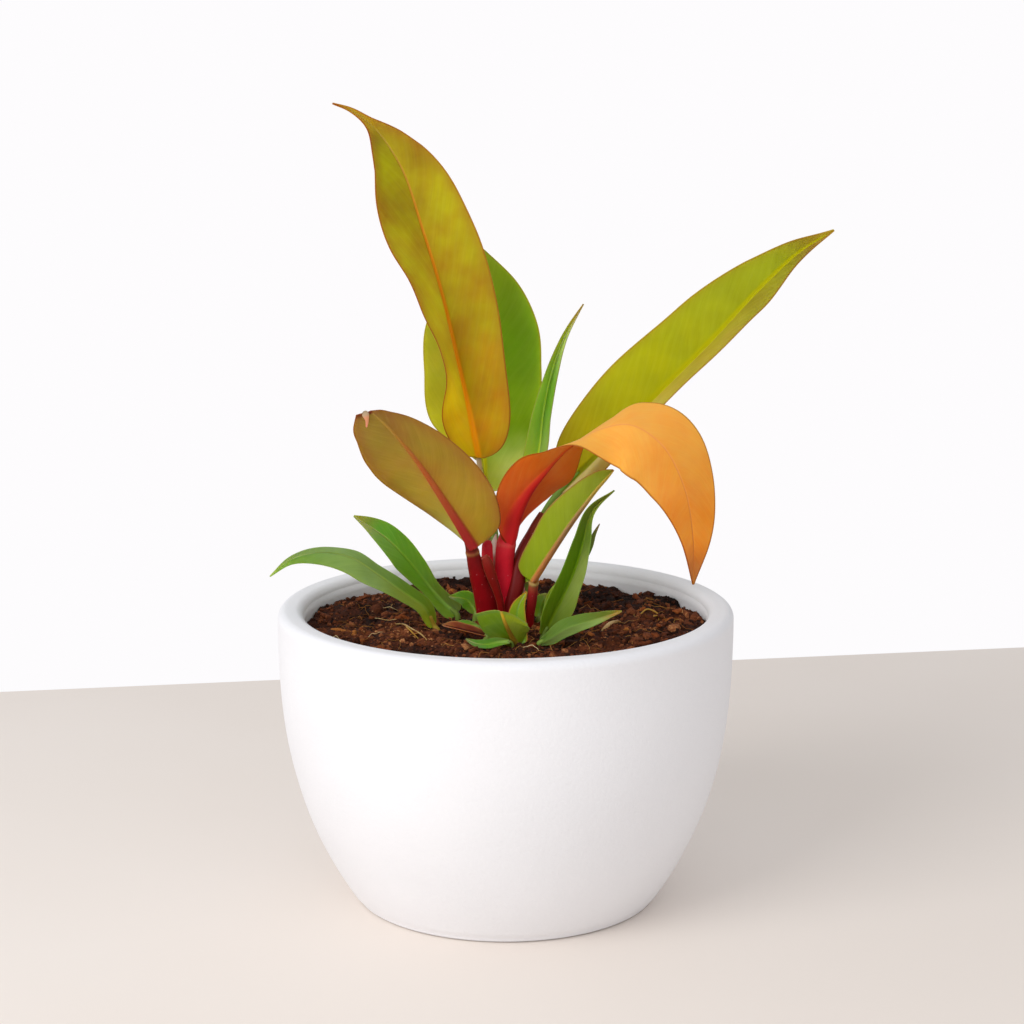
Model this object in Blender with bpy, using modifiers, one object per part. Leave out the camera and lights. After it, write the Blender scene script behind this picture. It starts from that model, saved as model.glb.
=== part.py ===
"""Potted philodendron: a white pot, its soil, the red main shoot and every leaf.

The origin is the middle of the pot's flat base, +Z is up and the plant's front faces -Y.
Sizes below are millimetres and degrees, and metres only where a mesh is written.
"""

import math
from dataclasses import dataclass

import bmesh
import bpy
import numpy as np

MM = 0.001
GAP = 0.3

# Pot
POT_HEIGHT = 116.6
RIM_RADIUS = 89.0
BASE_RADIUS = 59.6
SIDE_HEIGHT = 112.0
SIDE_POWER = 2.65
SIDE_POINTS = 9
BASE_ROUND = 2.0
RIM_INNER_RADIUS = 79.0
RIM_ROUND = 3.5
WALL = 7.0
FLOOR = 8.0
POT_STEPS = 48
INNER_HEIGHTS = tuple(np.linspace(FLOOR, SIDE_HEIGHT, SIDE_POINTS))

# Soil
SOIL_TOP = 107.0
SOIL_RINGS = (12.0, 24.0, 35.0, 46.0, 57.0, 68.0)
SOIL_RELIEF = 1.3
CALM_RADIUS = 34.0

# Feet that stand in the soil
FOOT_BOTTOM = 96.0
CROWN_BOTTOM = 84.0
CROWN_CENTRE = (-3.0, 3.5)
CROWN_RADIUS = 9.5
CROWN_TOP = 113.0

# Blades
SIGHT = (0.0, 0.981, -0.196)
BLADE_THICK = 0.8
RIB_DEPTH = 1.1
RIB_LEAST = 0.4
ROW_POWER = 1.4
LARGE_ROWS = 17
LARGE_COLUMNS = (0.36, 0.68, 1.0)
SMALL_ROWS = 9
SMALL_COLUMNS = (0.55, 1.0)

# Finishes: base colour and roughness
FINISHES = {
    "pot_white": ((0.86, 0.86, 0.85), 0.55),
    "soil_brown": ((0.12, 0.055, 0.03), 0.95),
    "stem_red": ((0.45, 0.012, 0.02), 0.4),
    "olive_orange": ((0.36, 0.24, 0.01), 0.4),
    "green": ((0.13, 0.27, 0.02), 0.4),
    "yellow_green": ((0.33, 0.38, 0.01), 0.4),
    "orange": ((0.72, 0.26, 0.03), 0.4),
    "olive_red": ((0.27, 0.19, 0.02), 0.4),
    "dry_brown": ((0.16, 0.05, 0.03), 0.8),
}

LEVEL = ((0, 0), (1, 0))
SHALLOW = ((0, 10), (1, 10))


@dataclass(frozen=True)
class Leaf:
    """One blade, given along its midrib from base (0) to tip (1).

    Turn 0 shows the upper face to the front and 180 the underside. A fold lifts a half from flat
    towards the upper face, and curl is the part of the left fold that is spread over the half.
    A foot is the place on the soil where the leaf's own stalk stands.
    """

    name: str
    finish: str
    midrib: tuple
    half_width: tuple
    turn: tuple = LEVEL
    fold_left: tuple = SHALLOW
    fold_right: tuple = SHALLOW
    curl: float = 0.0
    rib: float = 0.8
    large: bool = False
    foot: tuple = ()
    foot_radius: float = 1.3


@dataclass(frozen=True)
class Stalk:
    """A round tapering stalk: points along its middle and the radius at each."""

    points: tuple
    radii: tuple


ARCH_FOLD = ((0, 10), (.13, 12), (.25, 6), (.36, 3), (.45, -13), (.6, -5), (.75, -4), (.9, 8), (1, 10))
TROUGH_FOLD = ((0, 40), (.2, 35), (.5, 30), (1, 34))

MAIN_LEAVES = (
    Leaf("leaf_tall", "olive_orange",
         midrib=((-10.5, 8, 173.5), (-14.5, 11, 193), (-19, 16, 212), (-25, 23, 236.5),
                 (-32.5, 30, 260.5), (-42.5, 38, 287), (-53, 43, 300.5), (-68.5, 46, 309)),
         half_width=((0, 2), (.02, 10), (.08, 15.5), (.2, 19), (.38, 21), (.55, 20.3), (.7, 16),
                     (.82, 8.5), (.9, 2.6), (.95, 1.2), (1, .8)),
         fold_left=((0, 45), (.1, 50), (.18, 72), (.26, 75), (.36, 66), (.46, 60), (.57, 43),
                    (.66, 34), (1, 35)),
         curl=24, rib=1.5, large=True),
    Leaf("leaf_rear", "green",
         midrib=((-8.1, 28, 156), (-9.1, 31, 176.7), (-10.1, 37, 203.9), (-11.1, 45, 231.1),
                 (-17.7, 56, 258.4)),
         half_width=((0, 2), (.03, 9), (.1, 17.2), (.25, 22.2), (.45, 24.5), (.62, 23.2), (.75, 17.2),
                     (.87, 9), (1, .8)),
         fold_left=((0, 86), (.12, 84), (.15, 72), (.2, 50), (.25, 31), (.45, 25), (.65, 24), (1, 10)),
         fold_right=((0, 8), (1, 8)), rib=1.2, large=True),
    Leaf("leaf_narrow", "green",
         midrib=((10, 16, 163), (13, 17, 175), (14.5, 18, 188.5), (17, 19, 202), (22.5, 22, 218),
                 (30.5, 24, 232)),
         half_width=((0, 1.6), (.05, 5), (.2, 8.5), (.4, 7.5), (.7, 4), (1, .8)),
         fold_left=((0, 30), (.15, 47), (.27, 56), (.4, 63), (.7, 70), (1, 50)),
         fold_right=((0, 70), (.3, 70), (.5, 65), (1, 70)), rib=0.9, large=True),
    Leaf("leaf_right", "yellow_green",
         midrib=((21.5, 12, 159.5), (37, 16, 174), (57, 20, 194), (79.5, 25, 216), (102.5, 30, 240),
                 (115.5, 33, 251.5), (129.5, 35, 260)),
         half_width=((0, 2), (.03, 9), (.1, 16), (.2, 19.5), (.33, 21), (.5, 19.3), (.62, 17.5),
                     (.75, 12.5), (.87, 6.5), (.95, 2.5), (1, .8)),
         fold_left=((0, 8), (1, 8)),
         fold_right=((0, 60), (.2, 76), (.4, 79), (.5, 76), (.66, 70), (.73, 63), (.85, 63), (1, 50)),
         rib=1.4, large=True),
    Leaf("leaf_orange", "orange",
         midrib=((2.5, -5, 146), (6.5, -6, 159.5), (14, -8, 170), (24, -12, 181.5), (34.5, -16, 188.5),
                 (47, -21, 191.5), (58, -26, 185.5), (66.5, -30, 171), (70.5, -34, 149.5),
                 (70.5, -36, 133)),
         half_width=((0, 3.2), (.04, 8), (.12, 15), (.3, 18.5), (.5, 19), (.68, 16.5), (.8, 12),
                     (.9, 6.5), (1, .8)),
         turn=((0, -125), (.13, -128), (.2, -128), (.28, -109), (.37, -88), (.45, -52), (.55, -35),
               (.65, -30), (.8, -36), (1, -38)),
         fold_left=ARCH_FOLD, fold_right=ARCH_FOLD, rib=1.9, large=True),
    Leaf("leaf_left", "olive_red",
         midrib=((-12, -16.2, 142.8), (-22.5, -18.2, 160.2), (-35.9, -22.2, 180.7),
                 (-44.9, -26.2, 191.7), (-54.9, -29.2, 196.7)),
         half_width=((0, 2), (.02, 11), (.1, 16), (.25, 18.3), (.45, 18), (.65, 16.5), (.85, 14),
                     (.95, 10), (1, 1)),
         turn=((0, 138), (.1, 142), (.23, 150), (.4, 167), (.56, 187), (.7, 205), (.83, 219), (1, 222)),
         fold_left=TROUGH_FOLD, fold_right=TROUGH_FOLD, rib=1.6, large=True),
    Leaf("leaf_young", "yellow_green",
         midrib=((10.5, -2, 126.5), (16, -4, 136), (28.5, -9, 156), (36, -11, 166.5), (42, -12, 173)),
         half_width=((0, 1.8), (.02, 6.5), (.1, 8.5), (.3, 10), (.5, 10.7), (.7, 8.6), (.85, 6),
                     (.95, 3.2), (1, .8)),
         turn=((0, 252), (1, 252)), fold_left=((0, 72), (1, 72)), fold_right=((0, 72), (1, 72)),
         rib=1.0, large=True),
)

SIDE_LEAVES = (
    Leaf("shoot_leaf_upright", "green",
         midrib=((14.5, -22, 110), (18, -23, 117.5), (22, -24, 126), (26, -25, 135.5), (29.5, -27, 148),
                 (32.5, -28, 159), (41, -28, 167.5)),
         half_width=((0, 1.6), (.05, 3.5), (.15, 6), (.3, 6.5), (.5, 6.4), (.75, 4.2), (.9, 2.2), (1, .8)),
         fold_left=((0, 45), (1, 45)), fold_right=((0, 10), (.2, 15), (.35, 45), (.6, 55), (1, 50)),
         rib=0.9, large=True, foot=(14, -22)),
    Leaf("shoot_leaf_left", "green",
         midrib=((-28, -4, 109), (-31, -6, 116.5), (-39.5, -8, 123.5), (-50, -11, 132), (-58.5, -14, 138.5),
                 (-71, -17, 141.5), (-82.5, -20, 139), (-90, -22, 133)),
         half_width=((0, 1.6), (.04, 3.5), (.15, 5.5), (.35, 7.5), (.55, 8.3), (.75, 7.2), (.88, 4.2),
                     (1, .8)),
         turn=((0, 45), (.3, 56), (.6, 50), (1, 50)),
         fold_left=((0, -5), (.25, 8), (.4, 0), (.6, -22), (1, -20)),
         fold_right=((0, -5), (.25, 8), (.4, 0), (.6, -22), (1, -20)),
         rib=0.9, large=True, foot=(-27.5, -4)),
    Leaf("shoot_leaf_back", "green",
         midrib=((-19.5, 12, 110), (-24, 13, 113.5), (-28.5, 13, 118.5), (-36.5, 13, 129), (-46, 13, 139.5),
                 (-60, 13, 149.5)),
         half_width=((0, 2.4), (.04, 4.3), (.12, 4.2), (.25, 3.8), (.45, 5.5), (.65, 6.6), (.8, 5.6),
                     (.92, 3), (1, .8)),
         turn=((0, 20), (1, 20)), rib=0.9, large=True, foot=(-19, 12)),
    Leaf("shoot_leaf_low", "green",
         midrib=((13, -34, 110), (17, -36, 112.5), (22.5, -38, 116.5), (31.5, -40, 120), (43.5, -41, 124)),
         half_width=((0, 1.4), (.06, 2.5), (.2, 4.2), (.5, 4.6), (.75, 3.2), (.9, 1.6), (1, .8)),
         turn=((0, -50), (1, -50)), fold_left=((0, 8), (1, 8)), fold_right=((0, 8), (1, 8)),
         rib=0.7, foot=(12.6, -33.8)),
    Leaf("shoot_leaf_front", "green",
         midrib=((7, -33, 110), (3, -35, 114), (-0.5, -34, 118), (-2.5, -31, 121.5)),
         half_width=((0, 1.6), (.1, 3.5), (.35, 7), (.65, 10), (1, 10.3)),
         turn=((0, 180), (1, 180)), fold_left=((0, 15), (1, 25)), fold_right=((0, 15), (1, 25)),
         rib=0.8, foot=(7.5, -32.5)),
    Leaf("shoot_leaf_flap", "green",
         midrib=((6.8, -32.6, 109.5), (4.4, -30, 116), (4.8, -26.5, 122), (8, -24, 127.5)),
         half_width=((0, 1), (.1, 2.5), (.4, 3.6), (.7, 2.6), (1, .8)), rib=0.5),
    Leaf("shoot_leaf_torn", "green",
         midrib=((0, -38.5, 112.8), (-3, -39, 111.5), (-7.5, -39.5, 110.8), (-11, -39, 111),
                 (-15, -38, 112.5)),
         half_width=((0, .8), (.1, 1.4), (.35, 2.2), (.65, 2.0), (.9, 1), (1, .8)),
         turn=((0, 40), (1, 40)), rib=0.4, foot=(0.5, -38.5)),
    Leaf("shoot_leaf_dark", "green",
         midrib=((13, 8, 109.5), (14, 10.5, 113), (16, 13.5, 118)),
         half_width=((0, 1.3), (.15, 2.4), (.5, 2.9), (.85, 2.4), (1, .9)), rib=0.6, foot=(13, 8)),
    Leaf("shoot_leaf_olive", "olive_orange",
         midrib=((16.5, -9, 114), (18, -8, 121), (21.5, -7, 128)),
         half_width=((0, 1.2), (.15, 2), (.5, 2.4), (.8, 1.6), (1, .8)), rib=0.6, foot=(15.5, -9)),
    Leaf("shoot_leaf_small", "green",
         midrib=((-12, 11, 111), (-15.5, 12, 115.5), (-22.5, 10, 117.5)),
         half_width=((0, 1.3), (.15, 3), (.5, 3.8), (.8, 1.8), (1, .8)),
         turn=((0, 30), (1, 30)), rib=0.6, foot=(-12, 11)),
    Leaf("shoot_leaf_scrap", "green",
         midrib=((-11, -9, 110), (-15.5, -9, 111), (-20, -9, 111)),
         half_width=((0, .9), (.15, 1.4), (.5, 1.7), (.85, 1.2), (1, .8)),
         turn=((0, 30), (1, 30)), rib=0.4, foot=(-11.5, -9)),
    Leaf("dry_sheath", "dry_brown",
         midrib=((-7, -24, 110.2), (-13.5, -20, 110.8), (-19, -16, 111.2), (-24.5, -12, 111.5)),
         half_width=((0, 1), (.15, 2), (.5, 2.6), (.85, 2), (1, .8)),
         turn=((0, 40), (1, 40)), fold_left=((0, 25), (1, 25)), fold_right=((0, 25), (1, 25)),
         rib=0.5, foot=(-8, -23.5)),
)

STALK_ORANGE = Stalk(((-1, 3, 103), (-0.5, 0, 113), (-0.5, -2.5, 124), (1.2, -4.5, 139), (2.2, -5, 145.2)),
                     (4.2, 4.1, 3.9, 3.7, 2.8))
STALK_LEFT = Stalk(((-7, 1, 103), (-7.7, -0.8, 108.5), (-9.5, -6, 116), (-12, -10.5, 127),
                    (-13.1, -13.9, 136), (-12.6, -15.4, 140.9)), (3.7, 3.7, 3.5, 3.1, 2.7, 1.8))
STALK_TALL = Stalk(((-3, 8, 103), (-7, 10, 130), (-9.5, 8.5, 155), (-10.4, 8, 172.6)), (2.6, 2.0, 1.6, 1.3))
STALK_REAR = Stalk(((-1.5, 9.5, 103), (-4.5, 17, 130), (-7.9, 27, 154.9)), (2.2, 2.0, 1.5))
STALK_NARROW = Stalk(((0.5, 8, 103), (6, 14, 135), (9.7, 16, 162.2)), (2.0, 1.8, 1.2))
STALK_RIGHT = Stalk(((2, 6, 103), (9, 10, 130), (15, 11.5, 150), (20.8, 12, 158.9)), (2.3, 2.2, 1.7, 1.5))
SHEATH_POINTED = Stalk(((0.5, 3, 103), (2.5, 3, 121), (5, 4, 133), (8.5, 5, 143), (12, 6, 150),
                        (14.3, 6.5, 155.5)), (4.2, 3.9, 3.4, 2.5, 1.6, .5))
SHEATH_OPEN = Stalk(((-4, 0, 103), (-4.1, -1.4, 109), (-4.5, -6, 117), (-5.5, -8.5, 127),
                     (-7, -10, 133), (-9, -11.5, 137.5)), (4.2, 4.2, 4.2, 3.4, 2.4, 1.0))
STUB_CUT = Stalk(((-5.5, 1, 110), (-6.5, -1, 126), (-7, -2, 139)), (3.0, 2.7, 2.4))
SHEATH_TIP = Stalk(((4.5, -2, 112), (5.8, -3, 120), (6.8, -3.5, 125.5)), (1.8, 1.3, .4))
MAIN_STALKS = (STALK_ORANGE, STALK_LEFT, STALK_TALL, STALK_REAR, STALK_NARROW, STALK_RIGHT,
               SHEATH_POINTED, SHEATH_OPEN, STUB_CUT, SHEATH_TIP)
STALK_YOUNG = Stalk(((10, 3.5, FOOT_BOTTOM), (10, 3.5, 104), (10, 3.5, 107), (10.2, 1.2, 118),
                     (10.4, -1.6, 125.4)), (2.2, 2.2, 2.2, 2.0, 1.6))
STALK_SPACING = 4.0


def remove_everything():
    """Remove the objects that the scene starts with."""
    for thing in list(bpy.data.objects):
        bpy.data.objects.remove(thing, do_unlink=True)


def new_collection(name):
    """A collection linked to the scene."""
    group = bpy.data.collections.new(name)
    bpy.context.scene.collection.children.link(group)
    return group


def finish(name):
    """The named finish as a Principled BSDF material."""
    material = bpy.data.materials.get(name)
    if material is None:
        colour, roughness = FINISHES[name]
        material = bpy.data.materials.new(name)
        material.use_nodes = True
        shader = material.node_tree.nodes["Principled BSDF"]
        shader.inputs["Base Color"].default_value = (*colour, 1.0)
        shader.inputs["Roughness"].default_value = roughness
        shader.inputs["Metallic"].default_value = 0.0
        material.diffuse_color = (*colour, 1.0)
    return material


def add_mesh(name, mesh, finish_name, group):
    """An object for a mesh, with its finish, in a collection."""
    thing = bpy.data.objects.new(name, mesh)
    group.objects.link(thing)
    if finish_name:
        mesh.materials.append(finish(finish_name))
    return thing


def read_curve(knots, values, places):
    """Values at the places, on a smooth curve through the values that are given at the knots."""
    knots = np.asarray(knots, float)
    values = np.asarray(values, float)
    slopes = np.gradient(values, knots, axis=0)
    start = np.clip(np.searchsorted(knots, places, side="right") - 1, 0, len(knots) - 2)
    shape = (-1,) + (1,) * (values.ndim - 1)
    span = (knots[start + 1] - knots[start]).reshape(shape)
    part = (places - knots[start]).reshape(shape) / span
    rest = 1 - part
    return (values[start] * (1 + 2 * part) * rest ** 2
            + slopes[start] * span * part * rest ** 2
            + values[start + 1] * part ** 2 * (3 - 2 * part)
            - slopes[start + 1] * span * part ** 2 * rest)


def read_keys(pairs, places):
    """Numbers at the places, on a smooth curve through (place, number) pairs."""
    table = np.array(pairs, float)
    return read_curve(table[:, 0], table[:, 1], places)


def read_width(pairs, places):
    """Half widths at the places, smooth in the root of the place so that the base is round."""
    table = np.array(pairs, float)
    return read_curve(np.sqrt(table[:, 0]), table[:, 1], np.sqrt(places))


def read_path(points, places):
    """Points at the places (0 to 1) along a smooth curve through the points."""
    points = np.array(points, float)
    steps = np.linalg.norm(np.diff(points, axis=0), axis=1)
    knots = np.concatenate(([0.0], np.cumsum(steps)))
    return read_curve(knots / knots[-1], points, places)


def unit(vectors):
    """Vectors along the last axis at length one."""
    return vectors / np.linalg.norm(vectors, axis=-1, keepdims=True)


def midrib_frame(leaf, places):
    """Points on the midrib with the blade's sideways and upward directions there."""
    points = read_path(leaf.midrib, places)
    small = 0.001
    ahead = unit(read_path(leaf.midrib, np.minimum(places + small, 1))
                 - read_path(leaf.midrib, np.maximum(places - small, 0)))
    side = unit(np.cross(ahead, np.array(SIGHT)))
    face = np.cross(ahead, side)
    turn = np.radians(read_keys(leaf.turn, places))[:, None]
    across = side * np.cos(turn) + face * np.sin(turn)
    upward = face * np.cos(turn) - side * np.sin(turn)
    return points, across, upward


def half_blade(leaf, places, reach, fold, curl, direction):
    """Upper face of one half and its normals: an arc across the blade at each place on the midrib.

    The arc starts at the fold less half the curl and bends by the curl up to the margin.
    """
    points, across, upward = midrib_frame(leaf, places)
    share = reach / read_width(leaf.half_width, places)[:, None]
    bend = math.radians(curl)
    start = np.radians(read_keys(fold, places))[:, None] - bend / 2
    chord = reach * np.sinc(bend * share / 2 / math.pi)
    slope, lean = (start + bend * share / 2)[..., None], (start + bend * share)[..., None]
    outward, upward = direction * across[:, None], upward[:, None]
    surface = points[:, None] + chord[..., None] * (np.cos(slope) * outward + np.sin(slope) * upward)
    return surface, np.cos(lean) * upward - np.sin(lean) * outward


def blade_faces(leaf):
    """Grids of points on the upper face and on the underside with its rib."""
    rows = LARGE_ROWS if leaf.large else SMALL_ROWS
    columns = LARGE_COLUMNS if leaf.large else SMALL_COLUMNS
    places = np.linspace(0, 1, rows) ** ROW_POWER
    width = read_width(leaf.half_width, places)[:, None]
    rib = np.clip(leaf.rib * (1.05 - places[:, None]), RIB_LEAST, 0.5 * width)
    reach = np.concatenate((np.zeros_like(rib), rib, rib + (width - rib) * np.array(columns)), axis=1)
    left, left_normals = half_blade(leaf, places, reach, leaf.fold_left, leaf.curl, 1)
    right, right_normals = half_blade(leaf, places, reach, leaf.fold_right, 0.0, -1)
    normals = np.concatenate((left_normals[:, :0:-1], right_normals), axis=1)
    middle = len(columns) + 1
    normals[:, middle] = unit(left_normals[:, 1] + right_normals[:, 1])
    depth = np.full(normals.shape[:2], BLADE_THICK)
    depth[:, middle] += RIB_DEPTH * rib[:, 0]
    upper = np.concatenate((left[:, :0:-1], right), axis=1)
    return upper, upper - depth[..., None] * normals


def shell_triangles(rows, columns):
    """Triangles of two like grids of points and the border that joins them."""
    grid = np.arange(rows * columns).reshape(rows, columns)
    a, b = grid[:-1, :-1], grid[1:, :-1]
    c, d = grid[1:, 1:], grid[:-1, 1:]
    top = np.concatenate((np.stack((a, b, c), -1).reshape(-1, 3), np.stack((a, c, d), -1).reshape(-1, 3)))
    under = top[:, ::-1] + rows * columns
    edge = np.concatenate((grid[0, :-1], grid[:-1, -1], grid[-1, :0:-1], grid[:0:-1, 0]))
    follow = np.roll(edge, -1)
    border = np.concatenate((np.stack((edge, follow, follow + rows * columns), -1),
                             np.stack((edge, follow + rows * columns, edge + rows * columns), -1)))
    return np.concatenate((top, under, border))


def blade_mesh(leaf):
    """The blade as a closed thin shell."""
    upper, under = blade_faces(leaf)
    points = np.concatenate((upper.reshape(-1, 3), under.reshape(-1, 3))) * MM
    mesh = bpy.data.meshes.new(leaf.name)
    mesh.from_pydata(points.tolist(), [], shell_triangles(*upper.shape[:2]).tolist())
    face_outwards(mesh)
    return mesh


def face_outwards(mesh):
    """Turn the faces of a closed mesh outwards."""
    work = bmesh.new()
    work.from_mesh(mesh)
    bmesh.ops.recalc_face_normals(work, faces=work.faces)
    work.to_mesh(mesh)
    work.free()


def stalk_mesh(name, stalk):
    """A stalk as a bevelled curve with filled caps, made a mesh."""
    length = np.linalg.norm(np.diff(np.array(stalk.points, float), axis=0), axis=1).sum()
    count = max(3, round(length / STALK_SPACING))
    places = np.linspace(0, 1, count)
    points = read_path(stalk.points, places)
    radii = read_keys(tuple(zip(np.linspace(0, 1, len(stalk.radii)), stalk.radii)), places)
    curve = bpy.data.curves.new(name, "CURVE")
    curve.dimensions = "3D"
    curve.bevel_depth = MM
    curve.bevel_resolution = 2
    curve.use_fill_caps = True
    spline = curve.splines.new("POLY")
    spline.points.add(count - 1)
    for place, point, radius in zip(spline.points, points, radii):
        place.co = (*(point * MM), 1.0)
        place.radius = radius
    thing = bpy.data.objects.new(name, curve)
    bpy.context.scene.collection.objects.link(thing)
    mesh = baked_mesh(thing)
    bpy.data.objects.remove(thing, do_unlink=True)
    work = bmesh.new()
    work.from_mesh(mesh)
    bmesh.ops.remove_doubles(work, verts=work.verts, dist=0.01 * MM)
    bmesh.ops.recalc_face_normals(work, faces=work.faces)
    work.to_mesh(mesh)
    work.free()
    return mesh


def baked_mesh(thing):
    """The object's mesh with its modifiers applied."""
    bpy.context.view_layer.update()
    return bpy.data.meshes.new_from_object(thing.evaluated_get(bpy.context.evaluated_depsgraph_get()))


def join_bodies(thing, meshes):
    """Unite the object with other closed meshes in one Boolean."""
    group = new_collection(thing.name + "_pieces")
    for number, mesh in enumerate(meshes):
        group.objects.link(bpy.data.objects.new("%s_piece_%d" % (thing.name, number), mesh))
    unite = thing.modifiers.new("unite", "BOOLEAN")
    unite.operation = "UNION"
    unite.solver = "EXACT"
    unite.operand_type = "COLLECTION"
    unite.collection = group
    mesh = baked_mesh(thing)
    thing.modifiers.clear()
    thing.data = mesh
    for piece in list(group.objects):
        bpy.data.objects.remove(piece, do_unlink=True)
    bpy.data.collections.remove(group)


def side_radius(height):
    """Outer radius of the pot's side: a power curve from the base to the rim."""
    rise = np.clip(1 - height / SIDE_HEIGHT, 0, 1)
    return BASE_RADIUS + (RIM_RADIUS - BASE_RADIUS) * (1 - rise ** SIDE_POWER)


def inner_radius(height):
    """Inner radius of the pot: a wall's thickness inside the side, straight near the rim."""
    return np.minimum(RIM_INNER_RADIUS, side_radius(height) - WALL)


def turned_mesh(name, outline, steps):
    """A closed body turned about Z from an outline of (radius, height) that runs down its outside."""
    mesh = bpy.data.meshes.new(name + "_outline")
    points = [(radius * MM, 0.0, height * MM) for radius, height in outline]
    mesh.from_pydata(points, [(i, i + 1) for i in range(len(points) - 1)], [])
    thing = bpy.data.objects.new(name, mesh)
    bpy.context.scene.collection.objects.link(thing)
    screw = thing.modifiers.new("turn", "SCREW")
    screw.axis = "Z"
    screw.steps = steps
    screw.render_steps = steps
    screw.use_merge_vertices = True
    screw.merge_threshold = 0.0001
    result = baked_mesh(thing)
    result.name = name
    bpy.data.objects.remove(thing, do_unlink=True)
    return result


def rounded(centre, radius, start, stop, count=4):
    """Points on an arc from one angle to another, in degrees."""
    angles = np.radians(np.linspace(start, stop, count))
    return [(centre[0] + radius * math.cos(a), centre[1] + radius * math.sin(a)) for a in angles]


def make_pot(group):
    """The pot: inside from the floor's middle up to the rim, over it and down the outside."""
    inside = [(inner_radius(h), h) for h in INNER_HEIGHTS]
    top = POT_HEIGHT - RIM_ROUND
    rim = rounded((RIM_INNER_RADIUS + RIM_ROUND, top), RIM_ROUND, 180, 90)
    rim += rounded((RIM_RADIUS - RIM_ROUND, top), RIM_ROUND, 90, 0)
    outside = [(side_radius(h), h) for h in np.linspace(SIDE_HEIGHT - 6, BASE_ROUND * 2, SIDE_POINTS)]
    foot = rounded((BASE_RADIUS - BASE_ROUND * 0.6, BASE_ROUND), BASE_ROUND, -10, -90, 3)
    outline = [(0.0, FLOOR)] + inside + rim + outside + foot + [(0.0, 0.0)]
    pot = add_mesh("planter_pot", turned_mesh("planter_pot", outline, POT_STEPS), "pot_white", group)
    pot.data.shade_smooth()
    pot.data.set_sharp_from_angle(angle=math.radians(50))


def soil_relief(x, y):
    """Height of the soil's clods over its level: three crossed ripples, calm near the stems."""
    ripple = (math.sin(0.21 * x + 0.9) * math.cos(0.17 * y - 0.4)
              + 0.6 * math.sin(0.34 * y + 0.12 * x) + 0.4 * math.cos(0.42 * x - 0.25 * y))
    away = min(max((math.hypot(x, y) - CALM_RADIUS) / 12, 0), 1)
    return SOIL_RELIEF * (0.25 + 0.75 * away) * ripple / 1.6 + 1.2 * away


def make_soil(group, cutters):
    """The soil: fills the pot, with clods on top and a plain hole for each foot."""
    outline = [(0.0, SOIL_TOP)] + [(ring, SOIL_TOP) for ring in SOIL_RINGS]
    outline += [(RIM_INNER_RADIUS - GAP, SOIL_TOP)]
    outline += [(inner_radius(h) - GAP, h) for h in INNER_HEIGHTS[-2:0:-1]]
    outline += [(inner_radius(FLOOR) - GAP, FLOOR + GAP), (0.0, FLOOR + GAP)]
    mesh = turned_mesh("soil", outline, POT_STEPS)
    for vertex in mesh.vertices:
        if vertex.co.z > (SOIL_TOP - 0.1) * MM:
            vertex.co.z += soil_relief(vertex.co.x / MM, vertex.co.y / MM) * MM
    soil = add_mesh("soil", mesh, "soil_brown", group)
    crown = (CROWN_CENTRE, CROWN_RADIUS, CROWN_BOTTOM)
    young = (STALK_YOUNG.points[0][:2], STALK_YOUNG.radii[0], FOOT_BOTTOM)
    feet = [(leaf.foot, leaf.foot_radius, FOOT_BOTTOM) for leaf in SIDE_LEAVES if leaf.foot]
    for place, radius, bottom in [crown, young] + feet:
        add_hole(cutters, place, radius + GAP, bottom - GAP)
    cut = soil.modifiers.new("holes", "BOOLEAN")
    cut.operation = "DIFFERENCE"
    cut.solver = "EXACT"
    cut.operand_type = "COLLECTION"
    cut.collection = cutters


def add_hole(cutters, place, radius, bottom):
    """A round cutter that stands through the soil's top."""
    top = SOIL_TOP + 10
    work = bmesh.new()
    bmesh.ops.create_cone(work, cap_ends=True, segments=16, radius1=radius * MM, radius2=radius * MM,
                          depth=(top - bottom) * MM)
    bmesh.ops.translate(work, verts=work.verts, vec=(place[0] * MM, place[1] * MM, (top + bottom) / 2 * MM))
    mesh = bpy.data.meshes.new("hole")
    work.to_mesh(mesh)
    work.free()
    cutter = bpy.data.objects.new("hole", mesh)
    cutter.hide_render = True
    cutter.display_type = "WIRE"
    cutters.objects.link(cutter)


def make_stems(group):
    """The main shoot: its crown with the red stalks and sheaths that grow from it, one body."""
    x, y = CROWN_CENTRE
    crown = Stalk(((x, y, CROWN_BOTTOM), (x, y, 104), (x, y, CROWN_TOP)),
                  (CROWN_RADIUS * 0.6, CROWN_RADIUS * 0.95, CROWN_RADIUS * 0.7))
    stems = add_mesh("main_stems", stalk_mesh("main_stems", crown), "stem_red", group)
    join_bodies(stems, [stalk_mesh("stalk", stalk) for stalk in MAIN_STALKS])
    add_mesh("stalk_young", stalk_mesh("stalk_young", STALK_YOUNG), "stem_red", group)


def foot_stalk(leaf):
    """The leaf's own stalk, from its place in the soil up into the base of its midrib."""
    x, y = leaf.foot
    inside = read_path(leaf.midrib, np.array([0.06]))[0]
    points = ((x, y, FOOT_BOTTOM), (x, y, SOIL_TOP - 4), (x, y, SOIL_TOP), leaf.midrib[0], tuple(inside))
    radius = leaf.foot_radius
    return Stalk(points, (radius, radius, radius, radius * 0.8, radius * 0.5))


def make_leaves(group):
    """Every blade, with its stalk's foot where it stands in the soil by itself."""
    for leaf in MAIN_LEAVES:
        add_mesh(leaf.name, blade_mesh(leaf), leaf.finish, group)
    flap = next(leaf for leaf in SIDE_LEAVES if leaf.name == "shoot_leaf_flap")
    for leaf in SIDE_LEAVES:
        if leaf is flap:
            continue
        thing = add_mesh(leaf.name, blade_mesh(leaf), leaf.finish, group)
        extra = [stalk_mesh("foot", foot_stalk(leaf))]
        if leaf.name == "shoot_leaf_front":
            extra.append(blade_mesh(flap))
        join_bodies(thing, extra)


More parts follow.
